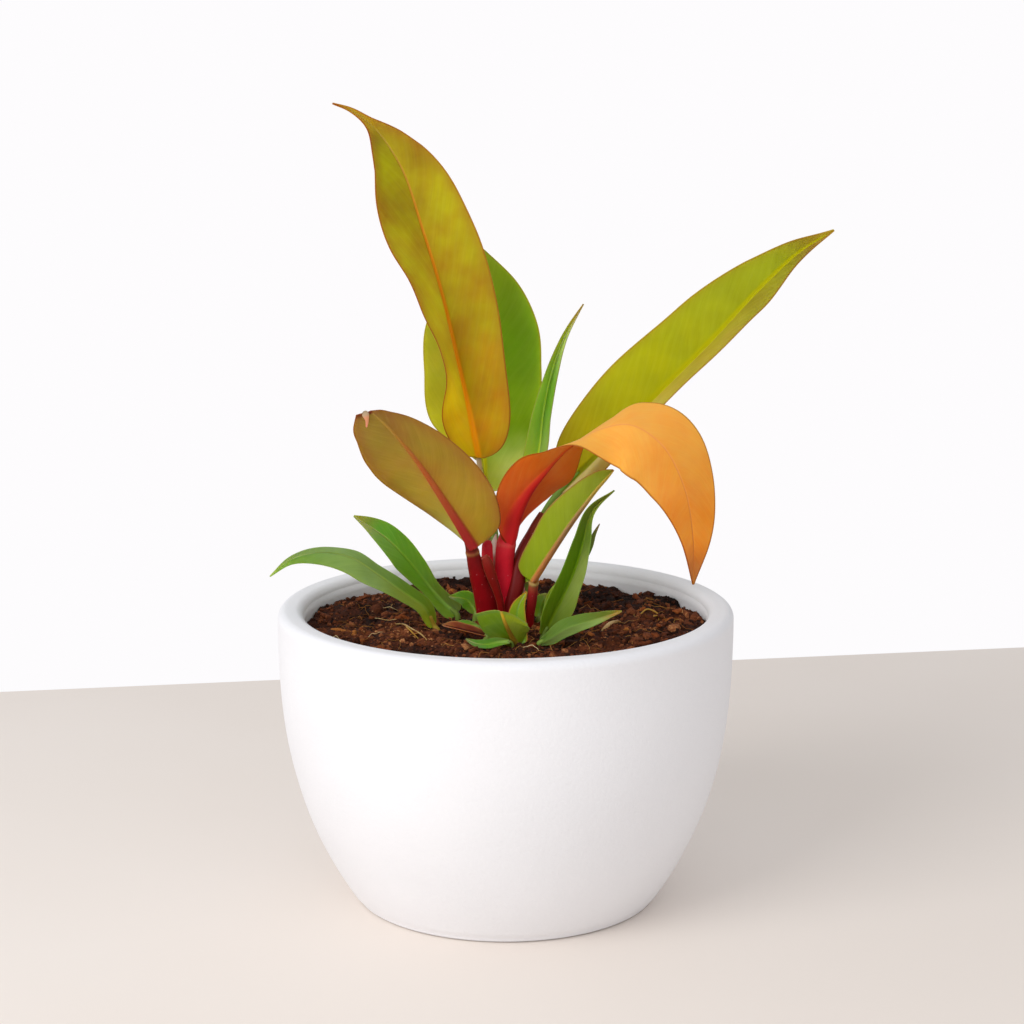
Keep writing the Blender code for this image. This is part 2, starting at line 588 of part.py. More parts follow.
def main():
    """Build the potted plant."""
    remove_everything()
    plant = new_collection("potted_philodendron")
    cutters = new_collection("cutters")
    make_pot(plant)
    make_soil(plant, cutters)
    make_stems(plant)
    make_leaves(plant)


main()
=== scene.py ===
"""Potted philodendron: the visible plant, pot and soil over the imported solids.

Lengths are millimetres until a mesh is written, and metres after that. Every blade starts from its
solid's midrib, width, turn and fold, refined where the photo shows more, on a much finer grid.
"""

import logging
import math
from dataclasses import dataclass, field, replace
from enum import Enum
from typing import Any

import bpy
import numpy as np
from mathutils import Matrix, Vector


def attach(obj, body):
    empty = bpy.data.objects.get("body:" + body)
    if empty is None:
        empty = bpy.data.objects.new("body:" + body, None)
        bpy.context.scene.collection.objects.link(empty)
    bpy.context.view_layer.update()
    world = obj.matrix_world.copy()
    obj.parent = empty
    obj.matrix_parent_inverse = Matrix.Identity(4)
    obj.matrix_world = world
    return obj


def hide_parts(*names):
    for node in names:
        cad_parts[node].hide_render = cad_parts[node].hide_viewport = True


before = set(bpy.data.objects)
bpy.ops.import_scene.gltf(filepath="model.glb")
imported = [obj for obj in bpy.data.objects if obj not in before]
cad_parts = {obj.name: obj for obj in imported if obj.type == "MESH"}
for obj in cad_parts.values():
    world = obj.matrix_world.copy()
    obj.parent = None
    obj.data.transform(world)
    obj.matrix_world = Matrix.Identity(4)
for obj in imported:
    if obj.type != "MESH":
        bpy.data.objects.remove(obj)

log = logging.getLogger("philodendron")

MM = 0.001
SIGHT = np.array((0.0, 0.981, -0.196))
BODY = "root"
TURN = 2 * math.pi
LEAST_HALF_WIDTH = 0.25
LENGTH_STEPS = 200
HASH_FACTOR = np.uint64(0x9E3779B97F4A7C15)
HASH_SEED = 7919
HASH_START = 17
HASH_SHIFT = np.uint64(29)
HASH_BITS = 24
OCTAVE_SHIFT = 31.7

Keys = tuple[tuple[float, float], ...]
Ramp = tuple[tuple[float, str], ...]
Points = tuple[tuple[float, ...], ...]


# Curves

def level(number: float) -> Keys:
    """The same number at every place."""
    return ((0, number), (1, number))


def read_curve(knots: np.ndarray, values: np.ndarray, places: np.ndarray) -> np.ndarray:
    """Smooth curve through values at knots: cubic pieces whose slopes are central differences.

    Args:
        knots: rising positions of the values.
        values: one number or vector for each knot.
        places: positions to read.

    Returns:
        The value at each place.
    """
    slopes = np.gradient(values, knots, axis=0)
    start = np.clip(np.searchsorted(knots, places, side="right") - 1, 0, len(knots) - 2)
    shape = (-1,) + (1,) * (values.ndim - 1)
    span = (knots[start + 1] - knots[start]).reshape(shape)
    part = (places - knots[start]).reshape(shape) / span
    rest = 1 - part
    return (values[start] * (1 + 2 * part) * rest ** 2 + slopes[start] * span * part * rest ** 2
            + values[start + 1] * part ** 2 * (3 - 2 * part)
            - slopes[start + 1] * span * part ** 2 * rest)


def read_keys(keys: Keys, places: np.ndarray) -> np.ndarray:
    """Numbers at the places, on the smooth curve through (place, number) pairs."""
    table = np.array(keys, float)
    return read_curve(table[:, 0], table[:, 1], places)


def read_width(keys: Keys, places: np.ndarray) -> np.ndarray:
    """Half widths at the places, smooth in the root of the place, which rounds the base."""
    table = np.array(keys, float)
    return np.maximum(read_curve(np.sqrt(table[:, 0]), table[:, 1], np.sqrt(places)), LEAST_HALF_WIDTH)


def read_path(points: Points, places: np.ndarray) -> np.ndarray:
    """Rows on the smooth curve through points, spaced by the straight steps between them.

    Args:
        points: x, y and z of each point, with any further numbers.
        places: positions to read, 0 to 1.

    Returns:
        A row like the points' for each place.
    """
    table = np.array(points, float)
    steps = np.linalg.norm(np.diff(table[:, :3], axis=0), axis=1)
    knots = np.concatenate(([0.0], np.cumsum(steps)))
    return read_curve(knots / knots[-1], table, places)


def path_length(points: Points) -> float:
    """Length of the smooth curve through the points."""
    line = read_path(points, np.linspace(0, 1, LENGTH_STEPS))[:, :3]
    return float(np.linalg.norm(np.diff(line, axis=0), axis=1).sum())


def unit(vectors: np.ndarray) -> np.ndarray:
    """Vectors along the last axis at length one."""
    return vectors / np.maximum(np.linalg.norm(vectors, axis=-1, keepdims=True), 1e-12)


def ease(low: float, high: float, values: np.ndarray) -> np.ndarray:
    """Smooth step: 0 at low, 1 at high and flat at both."""
    part = np.clip((values - low) / (high - low), 0, 1)
    return part * part * (3 - 2 * part)


def lattice_noise(points: np.ndarray, seed: int) -> np.ndarray:
    """Value noise in any number of dimensions, -1 to 1.

    Each whole-number corner gets a fixed number from a hash of its coordinates, and a point
    takes the smooth mean of the corners round it.

    Args:
        points: array whose last axis holds the coordinates.
        seed: picks one of many patterns.

    Returns:
        One number for each point.
    """
    cell = np.floor(points).astype(np.int64)
    part = points - cell
    part = part * part * (3 - 2 * part)
    size = points.shape[-1]
    total = np.zeros(points.shape[:-1])
    for corner in range(2 ** size):
        bits = np.array([(corner >> axis) & 1 for axis in range(size)])
        place = (cell + bits).astype(np.uint64)
        mixed = np.full(points.shape[:-1], seed * HASH_SEED + HASH_START, np.uint64)
        for axis in range(size):
            mixed = (mixed ^ place[..., axis]) * HASH_FACTOR
            mixed ^= mixed >> HASH_SHIFT
        value = (mixed >> np.uint64(64 - HASH_BITS)).astype(float) / float(1 << HASH_BITS)
        total += value * np.prod(np.where(bits == 1, part, 1 - part), axis=-1)
    return total * 2 - 1


def fractal_noise(points: np.ndarray, seed: int, octaves: int = 4) -> np.ndarray:
    """Sum of value noises, each twice as fine and half as strong as the one before.

    Args:
        points: array whose last axis holds the coordinates.
        seed: the first noise's pattern.
        octaves: how many noises.

    Returns:
        One number for each point.
    """
    total = np.zeros(points.shape[:-1])
    for octave in range(octaves):
        total += lattice_noise(points * 2 ** octave + OCTAVE_SHIFT * octave, seed + octave) * 0.5 ** octave
    return total


# Meshes

@dataclass
class Surface:
    """Points in millimetres and faces, with what a material may read on them."""

    points: np.ndarray
    faces: list
    values: dict[str, np.ndarray] = field(default_factory=dict)
    maps: dict[str, np.ndarray] = field(default_factory=dict)
    smooth: bool = True

    def face_outwards(self) -> None:
        """Turn every face round if the closed surface holds a negative volume.

        The volume is the sum, over the fan triangles of every face, of the dot product of one
        corner with the cross product of the other two.
        """
        fans = np.array([(face[0], face[i], face[i + 1])
                         for face in self.faces for i in range(1, len(face) - 1)])
        a, b, c = (self.points[fans[:, i]] for i in range(3))
        if np.einsum("ij,ij->", a, np.cross(b, c)) < 0:
            self.faces = [face[::-1] for face in self.faces]

    def to_mesh(self, name: str) -> bpy.types.Mesh:
        """Write the surface into a mesh in metres.

        Args:
            name: the mesh's name.

        Returns:
            The mesh with its attributes and UV maps.
        """
        self.face_outwards()
        mesh = bpy.data.meshes.new(name)
        mesh.from_pydata((self.points * MM).tolist(), [], self.faces)
        for key, numbers in self.values.items():
            layer = mesh.attributes.new(key, "FLOAT", "POINT")
            layer.data.foreach_set("value", numbers.astype(np.float32).ravel())
        corner = np.empty(len(mesh.loops), np.int32)
        mesh.loops.foreach_get("vertex_index", corner)
        for key, places in self.maps.items():
            layer = mesh.uv_layers.new(name=key)
            layer.data.foreach_set("uv", places[corner].astype(np.float32).ravel())
        if self.smooth:
            mesh.shade_smooth()
        mesh.validate()
        return mesh


def ring_faces(rows: int, ring: int) -> list:
    """Quads between closed rings of points, and a fan of triangles that closes each end.

    Args:
        rows: the number of rings.
        ring: the points in each.

    Returns:
        Faces; the two fan centres are the last two points.
    """
    grid = np.arange(rows * ring).reshape(rows, ring)
    after = np.roll(grid, -1, axis=1)
    quads = np.stack((grid[:-1], after[:-1], after[1:], grid[1:]), -1).reshape(-1, 4)
    first, last = rows * ring, rows * ring + 1
    start = np.stack((after[0], grid[0], np.full(ring, first)), -1)
    stop = np.stack((grid[-1], after[-1], np.full(ring, last)), -1)
    return quads.tolist() + start.tolist() + stop.tolist()


def close_rings(rings: np.ndarray) -> np.ndarray:
    """Ring points as one list, with the middles of the first and last ring at its end."""
    ends = np.stack((rings[0].mean(axis=0), rings[-1].mean(axis=0)))
    return np.concatenate((rings.reshape(-1, rings.shape[-1]), ends))


def close_values(grid: np.ndarray) -> np.ndarray:
    """Values on rings in the order of close_rings."""
    return close_rings(grid[..., None])[:, 0]


def two_faces(upper: np.ndarray, under: np.ndarray) -> np.ndarray:
    """Values of a shell's two faces in ring order, with the two end points."""
    return close_values(np.concatenate((upper, under[:, ::-1]), axis=1))


def add_piece(name: str, surface: Surface, material: bpy.types.Material, slot: str,
              *nodes: str) -> None:
    """Place a finished surface in the scene, riding on the pot.

    Args:
        name: the piece's name.
        surface: its points and faces.
        material: its material.
        slot: the record's slot for the piece; not used.
        nodes: the solids it stands for.
    """
    mesh = surface.to_mesh(name)
    mesh.materials.append(material)
    piece = bpy.data.objects.new(name, mesh)
    bpy.context.scene.collection.objects.link(piece)
    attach(piece, BODY)
    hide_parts(*nodes)
    faces = sum(len(face) - 2 for face in surface.faces)
    log.info("%s: %d points, %d triangles", name, len(surface.points), faces)


# Materials

def tint(code: str) -> tuple[float, float, float, float]:
    """A six-figure screen colour as linear light.

    Args:
        code: red, green and blue in hexadecimal.

    Returns:
        Red, green, blue and a full alpha.
    """
    parts = [int(code[i:i + 2], 16) / 255 for i in (0, 2, 4)]
    light = [p / 12.92 if p <= 0.04045 else ((p + 0.055) / 1.055) ** 2.4 for p in parts]
    return (light[0], light[1], light[2], 1.0)


class Tree:
    """Places and links nodes in one material or group."""

    def __init__(self, tree: bpy.types.NodeTree) -> None:
        """Start with an empty tree."""
        self.tree = tree
        tree.nodes.clear()

    def add(self, kind: str, settings: dict[str, Any] | None = None, **inputs: Any) -> bpy.types.Node:
        """Add a node.

        Args:
            kind: the node's type name.
            settings: its properties.
            inputs: values or sockets by input name, with _ for a space, or i0, i1 by place.

        Returns:
            The node.
        """
        node = self.tree.nodes.new(kind)
        for key, value in (settings or {}).items():
            setattr(node, key, value)
        for key, value in inputs.items():
            socket = node.inputs[int(key[1:])] if key[1:].isdigit() else node.inputs[key.replace("_", " ")]
            self.feed(socket, value)
        return node

    def feed(self, socket: bpy.types.NodeSocket, value: Any) -> None:
        """Link a socket, or set its number or colour.

        Args:
            socket: the input.
            value: another socket, or a number or colour.
        """
        if isinstance(value, bpy.types.NodeSocket):
            self.tree.links.new(value, socket)
        else:
            socket.default_value = value

    def math(self, operation: str, first: Any, second: Any = 0.0, third: Any = 0.0) -> bpy.types.NodeSocket:
        """The result of a Math node.

        Args:
            operation: what it does.
            first: a socket or number.
            second: another.
            third: what MULTIPLY_ADD adds.

        Returns:
            The result's socket.
        """
        node = self.add("ShaderNodeMath", {"operation": operation}, i0=first, i1=second)
        if operation == "MULTIPLY_ADD":
            self.feed(node.inputs[2], third)
        return node.outputs[0]

    def times(self, first: Any, second: Any) -> bpy.types.NodeSocket:
        """Product of two numbers."""
        return self.math("MULTIPLY", first, second)

    def value(self, name: str) -> bpy.types.NodeSocket:
        """A number that the mesh carries."""
        return self.add("ShaderNodeAttribute", {"attribute_name": name}).outputs["Fac"]

    def blend(self, factor: Any, first: Any, second: Any, kind: str = "MIX") -> bpy.types.NodeSocket:
        """Mix of two colours.

        Args:
            factor: how much of the second.
            first: a colour.
            second: another.
            kind: how they mix.

        Returns:
            The colour socket.
        """
        node = self.add("ShaderNodeMix", {"data_type": "RGBA", "blend_type": kind, "clamp_result": True})
        for place, value in ((0, factor), (6, first), (7, second)):
            self.feed(node.inputs[place], value)
        return node.outputs[2]

    def stain(self, colour: Any, mask: Any, strength: float, code: str) -> bpy.types.NodeSocket:
        """A colour laid over another where the mask is high."""
        return self.blend(self.times(mask, strength), colour, tint(code))

    def ramp(self, factor: Any, stops: Ramp, kind: str = "EASE") -> bpy.types.NodeSocket:
        """Colours along a number.

        Args:
            factor: the number's socket.
            stops: (place, colour) pairs.
            kind: how the ramp runs between them.

        Returns:
            The colour socket.
        """
        node = self.add("ShaderNodeValToRGB", Fac=factor)
        node.color_ramp.interpolation = kind
        elements = node.color_ramp.elements
        for _ in range(len(stops) - 2):
            elements.new(0.5)
        for element, (place, code) in zip(elements, stops):
            element.position = place
            element.color = tint(code)
        return node.outputs["Color"]

    def band(self, value: Any, low: float, high: float, start: float = 0.0,
             stop: float = 1.0) -> bpy.types.NodeSocket:
        """A number moved from one range to another and held inside it.

        Args:
            value: the number.
            low: start of the range it comes from.
            high: end of that range.
            start: what low becomes.
            stop: what high becomes.

        Returns:
            The moved number's socket.
        """
        node = self.add("ShaderNodeMapRange", {"clamp": True}, Value=value, From_Min=low, From_Max=high,
                        To_Min=start, To_Max=stop)
        return node.outputs["Result"]

    def vector(self, x: Any, y: Any, z: Any) -> bpy.types.NodeSocket:
        """Three numbers as one vector."""
        return self.add("ShaderNodeCombineXYZ", X=x, Y=y, Z=z).outputs["Vector"]

    def noise(self, vector: Any, scale: Any, detail: float, rough: float) -> bpy.types.NodeSocket:
        """Noise along a vector, 0 to 1."""
        return self.add("ShaderNodeTexNoise", {"noise_dimensions": "3D"}, Vector=vector, Scale=scale,
                        Detail=detail, Roughness=rough).outputs["Fac"]

    def place(self) -> bpy.types.NodeSocket:
        """Object coordinates."""
        return self.add("ShaderNodeTexCoord").outputs["Object"]

    def group(self, group: bpy.types.NodeTree, **inputs: Any) -> bpy.types.Node:
        """Place a shader group.

        Args:
            group: the group.
            inputs: values or sockets by input name.

        Returns:
            The group's node.
        """
        node = self.add("ShaderNodeGroup", {"node_tree": group})
        for key, value in inputs.items():
            self.feed(node.inputs[key], value)
        return node

    def surface(self, colour: Any, roughness: Any, normal: Any = None, **sockets: Any) -> None:
        """End a material with its Principled shader.

        Args:
            colour: base colour socket or value.
            roughness: roughness socket or number.
            normal: bumped normal, or None.
            sockets: other fixed numbers by input name, with _ for a space.
        """
        shader = self.add("ShaderNodeBsdfPrincipled", Base_Color=colour, Roughness=roughness)
        for key, value in sockets.items():
            shader.inputs[key.replace("_", " ")].default_value = value
        if normal is not None:
            self.feed(shader.inputs["Normal"], normal)
        output = self.add("ShaderNodeOutputMaterial")
        self.tree.links.new(shader.outputs["BSDF"], output.inputs["Surface"])

    def bump(self, height: Any, distance: float, strength: float = 1.0) -> bpy.types.NodeSocket:
        """Normal of a height field; the distance is in metres."""
        node = self.add("ShaderNodeBump", Height=height, Distance=distance, Strength=strength)
        return node.outputs["Normal"]


def new_material(name: str) -> tuple[bpy.types.Material, Tree]:
    """Start a material.

    Args:
        name: its name.

    Returns:
        The material and the helper for its empty node tree.
    """
    material = bpy.data.materials.new(name)
    material.use_nodes = True
    return material, Tree(material.node_tree)


class Groups:
    """Shader groups that more than one material uses, each built once."""

    def __init__(self) -> None:
        """Build the groups."""
        self.streaks = self.make_streaks()
        self.mottle = self.make_mottle()
        self.grain = self.make_grain()

    def start(self, name: str, inputs: dict[str, float], outputs: tuple[str, ...]) -> tuple[Any, Tree, Any]:
        """A new group with number inputs and outputs.

        Args:
            name: the group's name.
            inputs: input names with their first values.
            outputs: output names.

        Returns:
            The group, its tree helper and its input node.
        """
        group = bpy.data.node_groups.new(name, "ShaderNodeTree")
        for key, value in inputs.items():
            socket = group.interface.new_socket(key, in_out="INPUT", socket_type="NodeSocketFloat")
            socket.default_value = value
        for key in outputs:
            group.interface.new_socket(key, in_out="OUTPUT", socket_type="NodeSocketFloat")
        tree = Tree(group)
        return group, tree, tree.add("NodeGroupInput")

    def stop(self, tree: Tree, *results: Any) -> None:
        """Link the results to the group's outputs in order.

        Args:
            tree: the group's tree helper.
            results: a socket for each output.
        """
        output = tree.add("NodeGroupOutput")
        for place, result in enumerate(results):
            tree.feed(output.inputs[place], result)

    def make_streaks(self) -> bpy.types.NodeTree:
        """Fine streaks that run along the side veins, and the veins' own soft waves.

        Returns:
            The group.
        """
        group, tree, given = self.start("vein_streaks", {"Veins": 1.0, "Fine": 1.0},
                                        ("Vein", "Streak", "Height"))
        uv = tree.add("ShaderNodeUVMap", {"uv_map": "veins"}).outputs["UV"]
        parts = tree.add("ShaderNodeSeparateXYZ", Vector=uv)
        phase, reach = parts.outputs["X"], parts.outputs["Y"]
        wave = tree.math("COSINE", tree.times(phase, TURN))
        line = tree.math("POWER", tree.math("MULTIPLY_ADD", wave, 0.5, 0.5), 2.5)
        streak = tree.noise(tree.vector(tree.times(phase, 2.4), tree.times(reach, 0.75), 0.0), 2.2, 4.0, 0.6)
        fine = tree.noise(tree.vector(tree.times(phase, 9.0), tree.times(reach, 0.9), 2.0), 1.6, 3.0, 0.6)
        low = tree.times(line, tree.times(given.outputs["Veins"], -0.5))
        height = tree.math("ADD", low, tree.times(fine, tree.times(given.outputs["Fine"], 0.6)))
        mixed = tree.math("MULTIPLY_ADD", fine, 0.45, tree.times(streak, 0.55))
        self.stop(tree, line, mixed, height)
        return group

    def make_mottle(self) -> bpy.types.NodeTree:
        """Soft cloudy patches, 0 to 1.

        Returns:
            The group.
        """
        group, tree, given = self.start("cloudy_patches", {"Scale": 60.0, "Seed": 0.0}, ("Patch",))
        shift = tree.vector(given.outputs["Seed"], 0.0, 0.0)
        place = tree.add("ShaderNodeVectorMath", {"operation": "ADD"}, i0=tree.place(), i1=shift)
        broad = tree.noise(place.outputs[0], given.outputs["Scale"], 3.0, 0.5)
        self.stop(tree, tree.band(broad, 0.3, 0.7))
        return group

    def make_grain(self) -> bpy.types.NodeTree:
        """A fine grain of pits and grains as a height, 0 to 1.

        Returns:
            The group.
        """
        group, tree, given = self.start("fine_grain", {"Scale": 900.0}, ("Height",))
        self.stop(tree, tree.noise(tree.place(), given.outputs["Scale"], 4.0, 0.65))
        return group


# Leaves

class Side(Enum):
    """The two halves of a blade and the way each goes out from the midrib."""

    LEFT = 1
    RIGHT = -1


@dataclass(frozen=True)
class LeafFinish:
    """Colours of one blade along its length, and how its veins and margin show.

    A face's right half has a ramp of its own only where it looks unlike the left; the two ramps then paint
    light and shade, the lit half paler and the shaded half darker than their own colour.
    """

    upper: Ramp
    under: Ramp
    rib_upper: Ramp
    rib_under: Ramp
    upper_right: Ramp = ()
    under_right: Ramp = ()
    margin: str = "8a4a2a"
    margin_width: float = 0.5
    margin_strength: float = 0.8
    flush: str = "8c4b32"
    flush_strength: float = 0.0
    flush_width: float = 3.0
    patch: str = "6f7a10"
    patch_strength: float = 0.25
    patch_scale: float = 55.0
    fleck: str = "a8a820"
    fleck_strength: float = 0.0
    fleck_scale: float = 75.0
    streak: float = 0.14
    cloud: float = 0.14
    vein_light: str = "c9cf7a"
    vein_strength: float = 0.02
    roughness: float = 0.45
    shine: float = 0.06
    glow: float = 1.0
    glow_depth: float = 0.0022
    bump: float = 0.00007
    drift: float = 0.035
    patch_roughness: tuple[float, float] = (-0.04, 0.08)
    glow_reach: tuple[float, float, float] = (1.0, 0.95, 0.25)

    def face_colour(self, tree: Tree, along: Any, left: Ramp, right: Ramp) -> bpy.types.NodeSocket:
        """Colour of one face along the blade.

        Args:
            tree: the material's tree helper.
            along: the place along the blade.
            left: the left half's ramp, or both halves'.
            right: the right half's ramp, with painted light and shade, or nothing.

        Returns:
            The colour socket.
        """
        if not right:
            return tree.ramp(along, left)
        side = tree.band(tree.value("across"), -0.03, 0.03)
        return tree.blend(side, tree.ramp(along, left), tree.ramp(along, right))

    def build(self, name: str, groups: Groups, seed: int) -> bpy.types.Material:
        """The blade's material.

        Args:
            name: the material's name.
            groups: shared shader groups.
            seed: moves the patches so that no two blades are alike.

        Returns:
            The material.
        """
        material, tree = new_material(name)
        face = tree.value("face")
        drift = tree.group(groups.mottle, Scale=34.0, Seed=0.61 * seed).outputs["Patch"]
        drift = tree.band(drift, 0.0, 1.0, -self.drift, self.drift)
        along = tree.math("ADD", tree.value("along"), drift)
        # Where a right half has its own ramp, the two ramps paint light and shade: the lit half paler, the
        # shaded half darker.
        upper = self.face_colour(tree, along, self.upper, self.upper_right)
        under = self.face_colour(tree, along, self.under, self.under_right)
        colour = tree.blend(face, under, upper)
        patches = tree.group(groups.mottle, Scale=self.patch_scale, Seed=0.37 * seed).outputs["Patch"]
        colour = tree.stain(colour, patches, self.patch_strength, self.patch)
        if self.fleck_strength:
            flecks = tree.group(groups.mottle, Scale=self.fleck_scale, Seed=1.9 + 0.71 * seed)
            colour = tree.stain(colour, flecks.outputs["Patch"], self.fleck_strength, self.fleck)
        streaks = tree.group(groups.streaks, Veins=1.0, Fine=1.0)
        shade = tree.band(streaks.outputs["Streak"], 0.3, 0.7, 0.5 - self.streak / 2, 0.5 + self.streak / 2)
        clouds = tree.group(groups.mottle, Scale=70.0, Seed=0.83 * seed).outputs["Patch"]
        shade = tree.math("ADD", shade, tree.band(clouds, 0.0, 1.0, -self.cloud / 2, self.cloud / 2))
        grey = tree.add("ShaderNodeCombineColor", Red=shade, Green=shade, Blue=shade)
        colour = tree.blend(1.0, colour, grey.outputs[0], "SOFT_LIGHT")
        colour = tree.stain(colour, streaks.outputs["Vein"], self.vein_strength, self.vein_light)
        rib = tree.blend(face, tree.ramp(along, self.rib_under), tree.ramp(along, self.rib_upper))
        colour = tree.blend(tree.value("rib"), colour, rib)
        if self.flush_strength:
            colour = tree.stain(colour, tree.value("flush"), self.flush_strength, self.flush)
        colour = tree.stain(colour, tree.value("rim"), self.margin_strength, self.margin)
        low, high = self.patch_roughness
        rough = tree.band(patches, 0.0, 1.0, self.roughness + low, self.roughness + high)
        normal = tree.bump(streaks.outputs["Height"], self.bump, 0.5)
        tree.surface(colour, rough, normal, Specular_IOR_Level=self.shine, Subsurface_Weight=self.glow,
                     Subsurface_Scale=self.glow_depth, Subsurface_Radius=self.glow_reach)
        return material


@dataclass(frozen=True)
class Blade:
    """One leaf blade and where it grows.

    Places run from 0 at the base to 1 at the tip. Turn 0 shows the upper face to the front and 180
    the underside. A fold lifts a half from flat towards the upper face, and the curl spreads the
    fold over the half. Rib widths are half widths of the midrib's band. A sweep moves the margin
    back towards the base by that many millimetres, as a lobe does. The blush is how far the rib's
    colour runs out into the underside, and the tip is the length that takes the margin's colour.
    Where the right half's widths or folds are left out, they are the left half's.
    """

    name: str
    node: str
    slot: str
    finish: LeafFinish
    midrib: Points
    width: Keys
    width_right: Keys = ()
    turn: Keys = level(0)
    fold: Keys = level(10)
    fold_right: Keys = ()
    curl_left: float = 0.0
    curl_right: float = 0.0
    sweep_left: Keys = level(0)
    sweep_right: Keys = level(0)
    sweep_power: tuple[float, float] = (1.5, 1.5)
    rib_under: Keys = ((0, 1.0), (0.5, 0.6), (1, 0.2))
    rib_upper: Keys = ((0, 0.8), (0.5, 0.45), (1, 0.15))
    rib_depth: float = 0.8
    groove: float = 0.25
    blush: float = 0.0
    rib_edge: float = 1.25
    tip: float = 1.6
    vein_gap: float = 6.5
    vein_angle: float = 42.0
    vein_rise: float = 0.014
    vein_bow: float = 0.35
    vein_drift: float = 0.45
    wave: float = 0.35
    thick: float = 0.5
    sink: float = 0.4
    rows: int = 150
    columns: int = 26
    rib_columns: int = 8
    band: float = 1.6
    crowding: float = 1.7
    bunching: float = 0.55
    foot: tuple[float, ...] = ()
    foot_radius: float = 1.3
    foot_colour: str = "76903a"
    seed: int = 1

    def frame_at(self, places: np.ndarray) -> tuple[np.ndarray, np.ndarray, np.ndarray, np.ndarray]:
        """Midrib points, and the blade's sideways, upward and forward directions there.

        The sideways direction is square to the midrib and to the line of sight, then turned about
        the midrib by the turn angle.

        Args:
            places: rows from base to tip.

        Returns:
            Points, sideways, upward and forward, a row for each place.
        """
        points = read_path(self.midrib, places)
        small = 0.001
        ahead = unit(read_path(self.midrib, np.minimum(places + small, 1))
                     - read_path(self.midrib, np.maximum(places - small, 0)))
        side = unit(np.cross(ahead, SIGHT))
        face = np.cross(ahead, side)
        turn = np.radians(read_keys(self.turn, places))[:, None]
        return (points, side * np.cos(turn) + face * np.sin(turn),
                face * np.cos(turn) - side * np.sin(turn), ahead)

    def half(self, side: Side, places: np.ndarray) -> dict[str, np.ndarray]:
        """Middle surface of one half, with its normals and distances.

        Across the blade each half is an arc that starts at the fold less half the curl and bends
        by the curl up to the margin. The first columns lie on the midrib's band.

        Args:
            side: which half.
            places: rows from base to tip.

        Returns:
            Arrays by name: surface, normal, reach, width.
        """
        points, across, upward, ahead = self.frame_at(places)
        keys = self.width_right if side is Side.RIGHT and self.width_right else self.width
        fold = self.fold_right if side is Side.RIGHT and self.fold_right else self.fold
        bend = math.radians(self.curl_left if side is Side.LEFT else self.curl_right)
        width = read_width(keys, places)[:, None]
        rib = np.maximum(read_keys(self.rib_under, places), read_keys(self.rib_upper, places))[:, None]
        inner = np.minimum(self.band * rib, 0.5 * width)
        near = np.linspace(0, 1, self.rib_columns + 1)[None, :]
        far = 1 - (1 - np.linspace(0, 1, self.columns - self.rib_columns)[None, 1:]) ** self.crowding
        reach = np.concatenate((inner * near, inner + (width - inner) * far), axis=1)
        share = reach / width
        start = np.radians(read_keys(fold, places))[:, None] - bend / 2
        chord = reach * np.sinc(bend * share / 2 / math.pi)
        slope, lean = (start + bend * share / 2)[..., None], (start + bend * share)[..., None]
        outward, upward = side.value * across[:, None], upward[:, None]
        surface = points[:, None] + chord[..., None] * (np.cos(slope) * outward + np.sin(slope) * upward)
        sweep = read_keys(self.sweep_left if side is Side.LEFT else self.sweep_right, places)[:, None]
        power = self.sweep_power[0 if side is Side.LEFT else 1]
        surface = surface - (sweep * share ** power)[..., None] * ahead[:, None]
        normal = np.cos(lean) * upward - np.sin(lean) * outward
        ripple = self.ripple(side, places, share)[..., None]
        return {"surface": surface + normal * ripple, "normal": normal, "reach": reach,
                "width": np.broadcast_to(width, reach.shape)}

    def ripple(self, side: Side, places: np.ndarray, share: np.ndarray) -> np.ndarray:
        """Slight waves of the margin: slow noise along the blade, growing with the square outward.

        Args:
            side: which half.
            places: rows from base to tip.
            share: reach as a share of the width.

        Returns:
            How far each point moves along its normal.
        """
        count = 5.0 + self.seed % 3
        start = 0 if side is Side.LEFT else 40
        line = np.stack((places * count + start, np.full_like(places, self.seed)), -1)
        swing = lattice_noise(line, self.seed)[:, None] * np.minimum(places * 12, 1)[:, None]
        fade = np.minimum((1 - places) * 6, 1)[:, None]
        return self.wave * swing * fade * share ** 2

    def vein_phase(self, along: np.ndarray, reach: np.ndarray, share: np.ndarray,
                   sign: np.ndarray) -> np.ndarray:
        """Phase of the side veins' wave.

        The run is the length from the base, less the reach over the tangent of the veins' angle and
        a bow towards the margin. The phase is the run over the gap, half a turn apart on the two
        sides, with a slow noise added.

        Args:
            along: place along the blade.
            reach: distance from the midrib.
            share: reach as a share of the width.
            sign: -1 left of the midrib and 1 right of it.

        Returns:
            The phase in whole turns.
        """
        lean = 1 / math.tan(math.radians(self.vein_angle))
        run = along * path_length(self.midrib) - reach * lean - self.vein_bow * reach * share
        phase = run / self.vein_gap + np.where(sign > 0, 0.5, 0.0) + self.seed
        drift = lattice_noise(np.stack((run / 13 + 9, sign * reach / 10 + 5), -1), self.seed)
        return phase + self.vein_drift * drift

